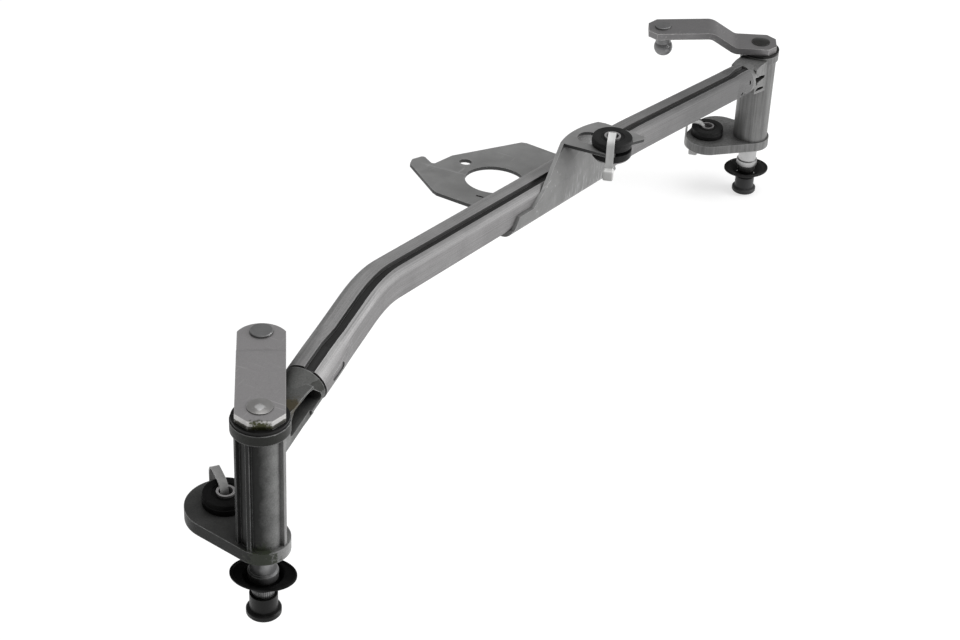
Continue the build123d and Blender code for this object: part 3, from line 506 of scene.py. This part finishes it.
looks = {
    "tubeSteel": plainMetal | {
        "metallic": 0.7, "colour": (0.29, 0.285, 0.286), "second": (0.22, 0.216, 0.217),
        # the groove colour is dirt with painted shade
        "top": (0.32, 0.317, 0.317), "groove": (0.04, 0.04, 0.04), "farEnd": (0.11, 0.11, 0.11),
        "drawn": {"Fine": 2200.0, "Along": 9.0}, "streak": 0.22,
        "grainSize": 1700.0, "smudgeSize": 40.0, "grain": 0.7, "smudge": 0.25,
        "edgeWidth": 0.0005, "edgeAmount": 0.75, "edgeColour": (0.62, 0.62, 0.62), "edgeRough": 0.4,
        "rough": (0.52, 0.66), "bump": 0.3,
    },
    "pressedSteel": plainMetal | {
        "metallic": 0.65, "colour": (0.22, 0.22, 0.218), "second": (0.17, 0.17, 0.168),
        "layers": [
            ("film", {"Amount": 0.6}, (0.42, 0.42, 0.418)),
            ("press", {"Top": 0.036, "Fade": 0.02, "Amount": 0.8}, (0.5, 0.5, 0.5)),
            ("sideFaces", {"Low": 0.0483, "High": 0.0499, "Past Y": 0.0112}, (0.07, 0.07, 0.07)),
        ],
        "grainSize": 1800.0, "smudgeSize": 80.0, "grain": 0.3, "smudge": 0.25,
        "edgeWidth": 0.0005, "edgeAmount": 0.6, "edgeColour": (0.55, 0.55, 0.55), "edgeRough": 0.35,
        "scratch": 0.45, "scratchScale": 520.0,
        "rough": (0.42, 0.58),
    },
    "nearCasting": plainMetal | {
        "metallic": 0.0, "specular": 0.2, "colour": (0.1, 0.102, 0.098), "second": (0.06, 0.062, 0.059),
        "layers": [
            # painted shade: the near barrel's left side painted dark
            (
                "sideShadeAndSheen",
                {"Direction": shadedSide, "Start": -0.35, "Full": 0.5, "Amount": 0.92},
                (0.009, 0.0095, 0.009),
            ),
            # painted sheen: the near barrel's lit side painted lighter
            ("sideShadeAndSheen", {"Direction": (0.1, -0.995, 0.0), "Start": 0.35, "Full": 1.0}, (0.3, 0.302, 0.298)),
            ("film", {"Amount": 0.35}, (0.13, 0.13, 0.128)),
            ("band", {"Low": 0.0648, "High": 0.0699, "Rag": 0.0016}, (0.026, 0.027, 0.024)),
        ],
        "grainSize": 1400.0, "smudgeSize": 60.0, "grain": 1.1, "smudge": 0.5,
        "edgeWidth": 0.0008, "edgeAmount": 0.8, "edgeColour": (0.4, 0.4, 0.4), "edgeRough": 0.4,
        "shadeAndDirt": 0.9, "shadeAndDirtReach": 0.009, "shadeAndDirtColour": (0.004, 0.004, 0.004),
        "rough": (0.38, 0.55), "bump": 0.35, "bumpDepth": 0.0003,
        "greaseAndHighlight": [
            ({"Middle": (-0.0105, -0.0055, 0.003), "Reach": 0.008}, (0.042, 0.049, 0.034)),
            ({"Middle": (0.0145, -0.006, 0.07), "Reach": 0.006}, (0.06, 0.05, 0.03)),
        ],
    },
    "farCasting": plainMetal | {
        "metallic": 0.45, "colour": (0.22, 0.22, 0.218), "second": (0.15, 0.15, 0.148),
        "lines": {"Stretch": (700.0, 700.0, 22.0), "Amount": 0.3},
        "grainSize": 1400.0, "smudgeSize": 60.0, "grain": 0.5, "smudge": 0.35,
        "edgeWidth": 0.0008, "edgeAmount": 0.5, "edgeColour": (0.5, 0.5, 0.5), "edgeRough": 0.4,
        "shadeAndDirt": 0.85, "shadeAndDirtReach": 0.008,
        "rough": (0.4, 0.56), "bump": 0.3, "bumpDepth": 0.0003,
    },
    "zincSteel": plainMetal | {
        "metallic": 0.7, "colour": (0.38, 0.37, 0.375), "second": (0.3, 0.292, 0.296),
        "grainSize": 1900.0, "smudgeSize": 65.0, "grain": 0.55, "smudge": 0.25,
        "edgeWidth": 0.0007, "edgeAmount": 0.85, "edgeColour": (0.75, 0.74, 0.73), "edgeRough": 0.28,
        "scratch": 0.25, "scratchScale": 700.0,
        "rough": (0.42, 0.52),
    },
    "studSteel": plainMetal | {
        "metallic": 0.8, "colour": (0.26, 0.26, 0.262), "second": (0.18, 0.18, 0.182),
        "grainSize": 1800.0, "smudgeSize": 200.0, "grain": 0.3, "smudge": 0.2,
        "edgeWidth": 0.0005, "edgeAmount": 0.5, "edgeColour": (0.5, 0.5, 0.5), "edgeRough": 0.35,
        "rough": (0.4, 0.5),
    },
    "bronze": plainMetal | {
        "metallic": 0.9, "colour": (0.4, 0.27, 0.13), "second": (0.33, 0.2, 0.09),
        "grainSize": 1500.0, "smudgeSize": 120.0, "grain": 0.4, "smudge": 0.2,
        "edgeWidth": 0.0004, "edgeAmount": 0.3, "edgeColour": (0.6, 0.45, 0.25), "edgeRough": 0.3,
        "rough": (0.4, 0.5),
    },
    "rubber": plainSoft | {
        "colour": (0.012, 0.012, 0.012), "second": (0.02, 0.02, 0.02),
        "grainSize": 1400.0, "smudgeSize": 120.0, "grain": 0.6, "smudge": 0.6,
        "edgeWidth": 0.0006, "edgeAmount": 0.3, "edgeColour": (0.05, 0.05, 0.05), "edgeRough": 0.5,
        "rough": (0.45, 0.6),
    },
    "blackPlastic": plainSoft | {
        "colour": (0.01, 0.01, 0.01), "second": (0.015, 0.015, 0.015),
        "grainSize": 2200.0, "smudgeSize": 140.0, "grain": 0.4, "smudge": 0.3,
        "edgeWidth": 0.0004, "edgeAmount": 0.3, "edgeColour": (0.05, 0.05, 0.05), "edgeRough": 0.35,
        "rough": (0.3, 0.42),
    },
    "nylon": plainSoft | {
        "specular": 0.5, "colour": (0.78, 0.78, 0.77), "second": (0.7, 0.7, 0.692),
        "grainSize": 1500.0, "smudgeSize": 160.0, "grain": 0.15, "smudge": 0.2,
        "edgeWidth": 0.0005, "edgeAmount": 0.5, "edgeColour": (0.7, 0.7, 0.69), "edgeRough": 0.4,
        "shadeAndDirt": 0.25, "shadeAndDirtColour": (0.2, 0.2, 0.19),
        "rough": (0.35, 0.5),
    },
}
turnedSteel = plainMetal | {
    "metallic": 0.95, "colour": (0.52, 0.52, 0.52), "second": (0.4, 0.4, 0.4),
    "grainSize": 1500.0, "smudgeSize": 150.0, "grain": 0.2, "smudge": 0.3,
    "edgeWidth": 0.0005, "edgeAmount": 0.4, "edgeColour": (0.8, 0.8, 0.8), "edgeRough": 0.25,
    "shadeAndDirt": 0.9, "shadeAndDirtReach": 0.007,
    "rough": (0.28, 0.4),
}
looks["nearTurnedSteel"] = turnedSteel | {
    "metallic": 0.6, "colour": (0.34, 0.34, 0.345), "second": (0.24, 0.24, 0.243),
    "layers": [
        # painted shade: the near spindle's left half painted dark
        ("sideShadeAndSheen", {"Direction": shadedSide, "Start": 0.05, "Full": 0.6, "Amount": 0.9}, (0.01, 0.01, 0.01)),
        ("band", {"Low": rivetBase, "Rag": 0.0}, (0.3, 0.295, 0.29)),
    ],
    # a painted highlight on the near rivet head's dome
    "greaseAndHighlight": [({"Middle": (-0.0015, -0.0009, 0.0785), "Reach": 0.0026}, (0.6, 0.6, 0.6))],
}
# the tooth edges are painted near white as highlights over a dark body
looks["knurledSteel"] = turnedSteel | {
    "metallic": 0.8, "colour": (0.05, 0.05, 0.05), "second": (0.03, 0.03, 0.03),
    "edgeWidth": 0.0003, "edgeAmount": 1.0, "edgeBreak": 0.1, "edgeColour": (0.9, 0.9, 0.9),
}
looks["farZincSteel"] = looks["zincSteel"] | {
    "colour": (0.26, 0.255, 0.258), "second": (0.2, 0.195, 0.198),
}
looks["nearLeverSteel"] = looks["zincSteel"] | {
    "layers": [
        ("sideFaces", {"Past Y": -1.0}, (0.6, 0.592, 0.585)),  # all its sides, painted lighter as a highlight
        ("band", {"Low": leverDark[0], "High": leverDark[1], "Rag": 0.0012}, (0.09, 0.088, 0.078)),
    ],
    "greaseAndHighlight": [({"Middle": (-0.0104, -0.0062, 0.072), "Reach": 0.0056}, (0.05, 0.052, 0.022))],
}
looks["oiledRubber"] = looks["rubber"] | {
    "specular": 0.08, "colour": (0.004, 0.004, 0.004), "second": (0.008, 0.008, 0.008),
}
looks["greyPlastic"] = looks["blackPlastic"] | {
    "colour": (0.065, 0.065, 0.066), "second": (0.05, 0.05, 0.051),
}
looks["oldNylon"] = looks["nylon"] | {"colour": (0.34, 0.34, 0.335), "second": (0.26, 0.26, 0.255)}
looks["farTurnedSteel"] = turnedSteel | {
    "layers": [("band", {"Low": farBase + rivetBase, "Rag": 0.0}, (0.06, 0.06, 0.058))],
}
finishes = {name: makeFinish(name, look) for name, look in looks.items()}
slotFinish = {
    "tube_steel": "tubeSteel", "pressed_steel": "pressedSteel", "near_casting": "nearCasting",
    "far_casting": "farCasting", "zinc_steel": "zincSteel", "stud_steel": "studSteel",
    "bright_steel": "nearTurnedSteel", "spring_steel": "studSteel", "bronze": "bronze",
    "rubber": "rubber", "black_plastic": "blackPlastic", "nylon": "nylon",
}
ownFinish = {
    "far_spindle": "farTurnedSteel", "far_shim": "farTurnedSteel", "far_lever": "farZincSteel",
    "near_lever": "nearLeverSteel", "near_grommet": "oiledRubber", "near_seal_dish": "oiledRubber",
    "far_cap": "greyPlastic", "near_tie": "oldNylon",
}
slotOf = {row["node"]: row["material_slot"] for row in frame["record"]["subparts"]}
for node, slot in slotOf.items():
    nodes[node].data.materials.clear()
    nodes[node].data.materials.append(finishes[ownFinish.get(node, slotFinish[slot])])
print("finishes made:", len(finishes))


# how every modelled shell is closed, rounded and shaded
shellShape = {
    "weld": 0.000002,
    "bevelAngle": 35,
    "smoothAngle": 38,
}


# modelling helpers
def startEdit(piece, mode="FACE"):
    bpy.ops.object.select_all(action="DESELECT")
    piece.select_set(True)
    bpy.context.view_layer.objects.active = piece
    bpy.ops.object.mode_set(mode="EDIT")
    bpy.ops.mesh.select_mode(type=mode)


def pickFaces(piece, wanted):
    bpy.ops.mesh.select_mode(type="FACE")
    bpy.ops.mesh.select_all(action="DESELECT")
    bpy.ops.object.mode_set(mode="OBJECT")
    for face in piece.data.polygons:
        face.select = wanted(face.center, face.normal)
    bpy.ops.object.mode_set(mode="EDIT")


def mergeShell():
    bpy.ops.mesh.select_all(action="SELECT")
    bpy.ops.mesh.remove_doubles(threshold=shellShape["weld"])
    bpy.ops.mesh.normals_make_consistent(inside=False)


def roundEdges(piece, width, segments):
    bevel = piece.modifiers.new("roundEdges", "BEVEL")
    bevel.width = width
    bevel.segments = segments
    bevel.limit_method = "ANGLE"
    bevel.angle_limit = math.radians(shellShape["bevelAngle"])
    bpy.ops.object.select_all(action="DESELECT")
    piece.select_set(True)
    bpy.context.view_layer.objects.active = piece
    bpy.ops.object.modifier_apply(modifier="roundEdges")
    bpy.ops.object.shade_smooth_by_angle(angle=math.radians(shellShape["smoothAngle"]))


# a circle is extruded from ring to ring and back to the first; a ring is half length, half width, height
def turnShell(name, middle, rings, sides):
    bpy.ops.object.select_all(action="DESELECT")
    first = rings[0]
    start = (middle.x, middle.y, first[2])
    bpy.ops.mesh.primitive_circle_add(vertices=sides, radius=first[0], location=start)
    piece = bpy.context.object
    piece.name = name
    bpy.ops.object.mode_set(mode="EDIT")
    bpy.ops.mesh.select_mode(type="EDGE")
    bpy.ops.mesh.select_all(action="SELECT")
    bpy.ops.transform.resize(value=(1, first[1] / first[0], 1))
    for before, after in zip(rings, rings[1:] + rings[:1]):
        bpy.ops.mesh.extrude_edges_move(TRANSFORM_OT_translate={"value": (0, 0, after[2] - before[2])})
        bpy.ops.transform.resize(value=(after[0] / before[0], after[1] / before[1], 1))
    mergeShell()
    bpy.ops.object.mode_set(mode="OBJECT")
    return piece


def settle(piece, node, direction=0.0, finish=None):
    piece.rotation_euler = (0, 0, math.radians(direction))
    bpy.ops.object.select_all(action="DESELECT")
    piece.select_set(True)
    bpy.context.view_layer.objects.active = piece
    bpy.ops.object.transform_apply(location=True, rotation=True, scale=True)
    piece.data.materials.clear()
    piece.data.materials.append(finishes[finish or ownFinish.get(node, slotFinish[slotOf[node]])])
    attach(piece, bodyOf[node])


# rubber mounts: two discs on a neck, with a moulding line and a shallow seat round the sleeve
grommets = {
    "nearMountRubber": {"node": "near_grommet", "plate": 0.0062, "foot": 0.0025, "neck": 0.00738},
    "farMountRubber": {"node": "far_grommet", "plate": 0.0062, "foot": 0.0025, "neck": 0.00738},
    "middleMountRubber": {"node": "mid_grommet", "plate": 0.002, "foot": 0.004, "neck": 0.00597},
}
grommetShape = {
    "bore": 0.00435,
    "seatRadius": 0.0066,
    "seatDepth": 0.0005,
    "chamfer": 0.00035,
    "mouldLine": 0.00022,
    "mouldWidth": 0.0005,
    "lip": 0.0003,
    "softEdge": 0.0002,
    "softSteps": 3,
    "sides": 112,
}


def makeGrommet(name, piece, shape):
    low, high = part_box(piece["node"])
    middle = (low + high) / 2
    outer = (high.x - low.x) / 2
    line = outer - shape["mouldLine"]
    under = low.z + piece["foot"]
    over = under + piece["plate"]
    waist = (over + high.z) / 2
    profile = [
        (shape["bore"], low.z),
        (line - shape["chamfer"], low.z),
        (line, low.z + shape["chamfer"]),
        (line, under),
        (piece["neck"], under),
        (piece["neck"], over),
        (line - shape["lip"], over),
        (line, over + shape["lip"]),
        (line, waist - shape["mouldWidth"]),
        (outer, waist - shape["mouldWidth"] / 2),
        (outer, waist + shape["mouldWidth"] / 2),
        (line, waist + shape["mouldWidth"]),
        (line, high.z - shape["chamfer"]),
        (line - shape["chamfer"], high.z),
        (shape["seatRadius"], high.z),
        (shape["seatRadius"] - shape["seatDepth"], high.z - shape["seatDepth"]),
        (shape["bore"], high.z - shape["seatDepth"]),
    ]
    rings = [(radius, radius, height) for radius, height in profile]
    rubber = turnShell(name, middle, rings, shape["sides"])
    roundEdges(rubber, shape["softEdge"], shape["softSteps"])
    settle(rubber, piece["node"])
    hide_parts(piece["node"])


for name, piece in grommets.items():
    makeGrommet(name, piece, grommetShape)
print("rubber mounts made")

# seal dishes: a thin two-lobed rim with a bead, over a cone that grips the spindle
dishes = {
    "nearSealRubber": {"node": "near_seal_dish", "round": 0.0112, "direction": 107},
    "farSealRubber": {"node": "far_seal_dish", "round": 0.0126, "direction": -50},
}
dishShape = {
    "halfLength": 0.0151,
    "wall": 0.0015,
    "shoulder": 0.0004,
    "rim": 0.0016,
    "bead": 0.0005,
    "beadLong": 0.0011,  # the bead's width along the lobes and across them
    "beadWide": 0.0009,
    "beadSlope": 0.0003,
    "hub": 0.0079,
    "hubFlare": 0.0001,
    "hubHeight": 0.0007,
    "grip": 0.00602,
    "lip": 0.0006,
    "ease": 0.0004,
    "softEdge": 0.0003,
    "softSteps": 2,
    "sides": 128,
}


def makeDish(name, piece, shape):
    low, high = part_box(piece["node"])
    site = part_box(piece["node"].replace("seal_dish", "spindle"))
    middle = (site[0] + site[1]) / 2
    wide = piece["round"]
    long = shape["halfLength"]
    mouth = wide - shape["shoulder"] - shape["wall"]
    outer = mouth + shape["wall"]
    flare = shape["hub"] + shape["hubFlare"]
    ease, lip, slope = shape["ease"], shape["lip"], shape["beadSlope"]
    beadLong, beadWide = shape["beadLong"], shape["beadWide"]
    under = high.z - shape["rim"]
    sunk = high.z - shape["bead"]
    inside = low.z + shape["wall"]
    rings = [
        (shape["grip"], shape["grip"], low.z),
        (shape["hub"], shape["hub"], low.z),
        (flare, flare, low.z + shape["hubHeight"]),
        (outer - ease, outer - ease, under - ease),
        (outer, outer, under),
        (long - ease, wide - ease / 2, under),
        (long, wide, under + ease),
        (long, wide, high.z - slope),
        (long - ease, wide - slope, high.z),
        (long - beadLong, wide - beadWide, high.z),
        (long - beadLong - slope, wide - beadWide - slope, sunk),
        (mouth + lip, mouth + ease, sunk),
        (mouth, mouth, sunk - ease / 2),
        (shape["hub"] - ease, shape["hub"] - ease, inside + ease / 2),
        (shape["grip"] + lip, shape["grip"] + lip, inside),
        (shape["grip"], shape["grip"], inside + ease),
    ]
    rubber = turnShell(name, middle, rings, shape["sides"])
    roundEdges(rubber, shape["softEdge"], shape["softSteps"])
    settle(rubber, piece["node"], piece["direction"])
    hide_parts(piece["node"])


for name, piece in dishes.items():
    makeDish(name, piece, dishShape)
print("seal dishes made")

# cable ties: a strap through the sleeve and round the plate, grooved outside, with its locking head
ties = {
    "nearTieStrap": {
        "node": "near_tie", "grommet": "near_grommet", "direction": 48, "reach": 0.0192,
        "low": -0.0066, "high": 0.0143, "bend": 0.0052,
        "head": {"along": 0.008, "lift": -0.0122, "long": 0.006, "tall": 0.0046},
    },
    "farTieStrap": {
        "node": "far_tie", "grommet": "far_grommet", "direction": 103, "reach": 0.014,
        "low": -0.0066, "high": 0.0143, "bend": 0.0052,
        "head": {"along": 0.008, "lift": -0.0122, "long": 0.006, "tall": 0.0046},
    },
    "middleTieStrap": {
        "node": "mid_tie", "grommet": "mid_grommet", "direction": 198, "reach": 0.013,
        "low": -0.0095, "high": 0.0106, "bend": 0.003,
        "head": {"along": 0.01475, "lift": -0.00865, "long": 0.0046, "tall": 0.006},
    },
}
tieShape = {
    "seat": 0.0019,
    "width": 0.004,
    "thickness": 0.0011,
    "rail": 0.0006,
    "groove": 0.00014,
    "softEdge": 0.00012,
    "headWidth": 0.0056,
    "headRound": 0.0011,
    "headSteps": 5,
    "headSoftEdge": 0.00008,
    "window": 0.0006,
    "windowDepth": 0.0003,
    "softSteps": 2,
    "bendSteps": 10,
    "seamReach": 0.00001,
    "square": 0.999,  # least share of a normal along its axis, for the loop's seam and the head's openings
    "aside": 0.5,  # most share of a normal across the strap, for its outer face
}


def makeTie(name, piece, shape):
    low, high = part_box(piece["grommet"])
    plateLow = low.z + grommets[piece["rubber"]]["foot"]
    middle = (low + high) / 2
    lowZ = plateLow + piece["low"]
    highZ = plateLow + piece["high"]
    midZ = (lowZ + highZ) / 2
    width = piece["reach"] - shape["seat"]
    height = highZ - lowZ
    bend = piece["bend"]
    left = middle.x + shape["seat"]
    right = left + width
    bpy.ops.object.select_all(action="DESELECT")
    bpy.ops.mesh.primitive_plane_add(size=1, location=(left, middle.y, midZ))
    strap = bpy.context.object
    strap.name = name
    strap.scale = (shape["thickness"], shape["width"], 1)
    bpy.ops.object.transform_apply(location=True, rotation=False, scale=True)
    startEdit(strap)
    bpy.ops.mesh.select_all(action="SELECT")
    corners = [
        (left + bend, highZ - bend),
        (right - bend, highZ - bend),
        (right - bend, lowZ + bend),
        (left + bend, lowZ + bend),
    ]
    runs = [
        (0, height / 2 - bend),
        (width - 2 * bend, 0),
        (0, 2 * bend - height),
        (2 * bend - width, 0),
        (0, height / 2 - bend),
    ]
    for index, (alongX, alongZ) in enumerate(runs):
        bpy.ops.mesh.extrude_region_move(TRANSFORM_OT_translate={"value": (alongX, 0, alongZ)})
        if index < len(corners):
            x, z = corners[index]
            bpy.ops.mesh.spin(
                steps=shape["bendSteps"], angle=math.radians(90), center=(x, middle.y, z), axis=(0, -1, 0)
            )

    # both end faces go, so the loop closes
    def atSeam(centre, normal):
        return abs(normal.z) > shape["square"] and abs(centre.z - midZ) < shape["seamReach"]

    pickFaces(strap, atSeam)
    bpy.ops.mesh.delete(type="ONLY_FACE")
    mergeShell()
    inner = Vector((left + width / 2, middle.y, midZ))

    def outside(centre, normal):
        pastX = max(abs(centre.x - inner.x) - width / 2 + bend, 0)
        pastZ = max(abs(centre.z - inner.z) - height / 2 + bend, 0)
        return abs(normal.y) < shape["aside"] and math.hypot(pastX, pastZ) > bend + shape["thickness"] / 4

    pickFaces(strap, outside)
    bpy.ops.mesh.inset(thickness=shape["rail"], depth=-shape["groove"])
    bpy.ops.object.mode_set(mode="OBJECT")
    roundEdges(strap, shape["softEdge"], shape["softSteps"])
    # the head: a block with rounded edges, its openings sunk a little
    block = piece["head"]
    place = (middle.x + block["along"], middle.y, midZ + block["lift"])
    bpy.ops.object.select_all(action="DESELECT")
    bpy.ops.mesh.primitive_cube_add(size=1, location=place)
    head = bpy.context.object
    head.scale = (block["long"], shape["headWidth"], block["tall"])
    bpy.ops.object.transform_apply(location=True, rotation=False, scale=True)
    startEdit(head, "EDGE")
    bpy.ops.mesh.select_all(action="SELECT")
    bpy.ops.mesh.bevel(offset=shape["headRound"], segments=shape["headSteps"], affect="EDGES")
    throughX = block["long"] > block["tall"]
    pickFaces(head, lambda centre, normal: abs(normal.x if throughX else normal.z) > shape["square"])
    bpy.ops.mesh.inset(thickness=shape["window"], depth=-shape["windowDepth"], use_individual=True)
    bpy.ops.object.mode_set(mode="OBJECT")
    roundEdges(head, shape["headSoftEdge"], shape["softSteps"])
    bpy.ops.object.select_all(action="DESELECT")
    head.select_set(True)
    strap.select_set(True)
    bpy.context.view_layer.objects.active = strap
    bpy.ops.object.join()
    # turned about the mount's own axis
    bpy.context.scene.cursor.location = (middle.x, middle.y, midZ)
    bpy.ops.object.origin_set(type="ORIGIN_CURSOR")
    settle(strap, piece["node"], piece["direction"])
    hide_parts(piece["node"])


rubberOf = {piece["node"]: name for name, piece in grommets.items()}
for name, piece in ties.items():
    piece["rubber"] = rubberOf[piece["grommet"]]
    makeTie(name, piece, tieShape)
print("cable ties made")

# knurled cone that bites into the wiper arm, seen between the dish and the cap
knurls = {
    "nearKnurl": {"node": "near_spindle"},
    "farKnurl": {"node": "far_spindle"},
}
knurlShape = {
    "top": -0.0198,
    "bottom": -0.0258,
    "topRadius": 0.00612,
    "bottomRadius": 0.00526,
    "inner": 0.0048,
    "teeth": 40,
    "toothDepth": 0.055,
    "threadEnd": 0.0365,  # from the thread's end to the flange's underside
    "softEdge": 0.00006,
}


def makeKnurl(name, piece, shape):
    low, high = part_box(piece["node"])
    middle = (low + high) / 2
    start = (middle.x, middle.y, low.z + shape["threadEnd"] + shape["top"])
    bpy.ops.object.select_all(action="DESELECT")
    bpy.ops.mesh.primitive_circle_add(vertices=2 * shape["teeth"], radius=shape["topRadius"], location=start)
    knurl = bpy.context.object
    knurl.name = name
    # every other point moves in to make the teeth
    startEdit(knurl, "VERT")
    bpy.ops.mesh.select_all(action="DESELECT")
    bpy.ops.object.mode_set(mode="OBJECT")
    for index, point in enumerate(knurl.data.vertices):
        point.select = index % 2 == 0
    bpy.ops.object.mode_set(mode="EDIT")
    inward = 1 - shape["toothDepth"]
    bpy.ops.transform.resize(value=(inward, inward, 1))
    bpy.ops.mesh.select_all(action="SELECT")
    steps = [
        (shape["bottomRadius"] / shape["topRadius"], shape["bottom"] - shape["top"]),
        (shape["inner"] / shape["bottomRadius"], 0),
        (1, shape["top"] - shape["bottom"]),
        (shape["topRadius"] / shape["inner"], 0),
    ]
    for scale, rise in steps:
        bpy.ops.mesh.extrude_edges_move(TRANSFORM_OT_translate={"value": (0, 0, rise)})
        bpy.ops.transform.resize(value=(scale, scale, 1))
    mergeShell()
    bpy.ops.object.mode_set(mode="OBJECT")
    roundEdges(knurl, shape["softEdge"], 1)
    settle(knurl, piece["node"], finish="knurledSteel")


for name, piece in knurls.items():
    makeKnurl(name, piece, knurlShape)
print("knurled cones made")

# floor, light and camera
stage = {
    "floorGap": 0.0004,
    "floorSize": 14.0,
    "floorMiddle": 0.3,
    "floorColour": (0.5, 0.5, 0.5),
    "floorRough": 0.9,
    "floorLift": 0.66,
    "worldLevel": 0.36,
}
floorZ = cadLow[2] - stage["floorGap"]
bpy.ops.object.select_all(action="DESELECT")
bpy.ops.mesh.primitive_plane_add(size=stage["floorSize"], location=(stage["floorMiddle"], 0, floorZ))
floor = bpy.context.object
floor.name = "floor"
paper = bpy.data.materials.new("paper")
paper.use_nodes = True
paperTree = paper.node_tree
paperShader = paperTree.nodes["Principled BSDF"]
paperShader.inputs["Base Color"].default_value = (*stage["floorColour"], 1)
paperShader.inputs["Roughness"].default_value = stage["floorRough"]
paperShader.inputs["Specular IOR Level"].default_value = 0.0
paperShader.inputs["Emission Color"].default_value = (1, 1, 1, 1)
rays = addNode(paperTree, "ShaderNodeLightPath")
seen = mathNode(paperTree, "MAXIMUM", rays.outputs["Is Camera Ray"], rays.outputs["Is Glossy Ray"])
seen = mathNode(paperTree, "MAXIMUM", seen, rays.outputs["Is Transmission Ray"])
link(paperTree, product(paperTree, seen, stage["floorLift"]), paperShader.inputs["Emission Strength"])
floor.data.materials.append(paper)

world = bpy.data.worlds.new("studio")
bpy.context.scene.world = world
world.use_nodes = True
sky = world.node_tree.nodes["Background"]
sky.inputs["Color"].default_value = (1, 1, 1, 1)
sky.inputs["Strength"].default_value = stage["worldLevel"]

lamps = {
    "keyLamp": {"place": (1.16, -1.8, 0.75), "aim": (0.25, 0, 0), "size": 1.2, "power": 30},
    "topLamp": {"place": (0.3, -0.2, 2.2), "aim": (0.3, 0, 0), "size": 1.6, "power": 20},
}
for name, lamp in lamps.items():
    bpy.ops.object.light_add(type="AREA", location=lamp["place"])
    light = bpy.context.object
    light.name = name
    light.data.shape = "SQUARE"
    light.data.size = lamp["size"]
    light.data.energy = lamp["power"]
    light.rotation_euler = (Vector(lamp["aim"]) - Vector(lamp["place"])).to_track_quat("-Z", "Y").to_euler()

view = {
    "place": (-0.664401, -0.398515, 0.651071),
    "heading": -65.7162,
    "tilt": 55.6470,
    "roll": 2.6695,
    "lens": 86.25,
    "sensor": 36.0,
    "nearest": 0.01,
    "farthest": 50.0,
}
bpy.ops.object.camera_add(location=view["place"])
camera = bpy.context.object
turned = (
    Matrix.Rotation(math.radians(view["heading"]), 4, "Z")
    @ Matrix.Rotation(math.radians(view["tilt"]), 4, "X")
    @ Matrix.Rotation(math.radians(view["roll"]), 4, "Z")
)
camera.rotation_euler = turned.to_euler()
camera.data.sensor_width = view["sensor"]
camera.data.lens = view["lens"]
camera.data.clip_start = view["nearest"]
camera.data.clip_end = view["farthest"]
bpy.context.scene.camera = camera
bpy.context.scene.view_settings.view_transform = "Standard"
print("stage, lamps and camera set")
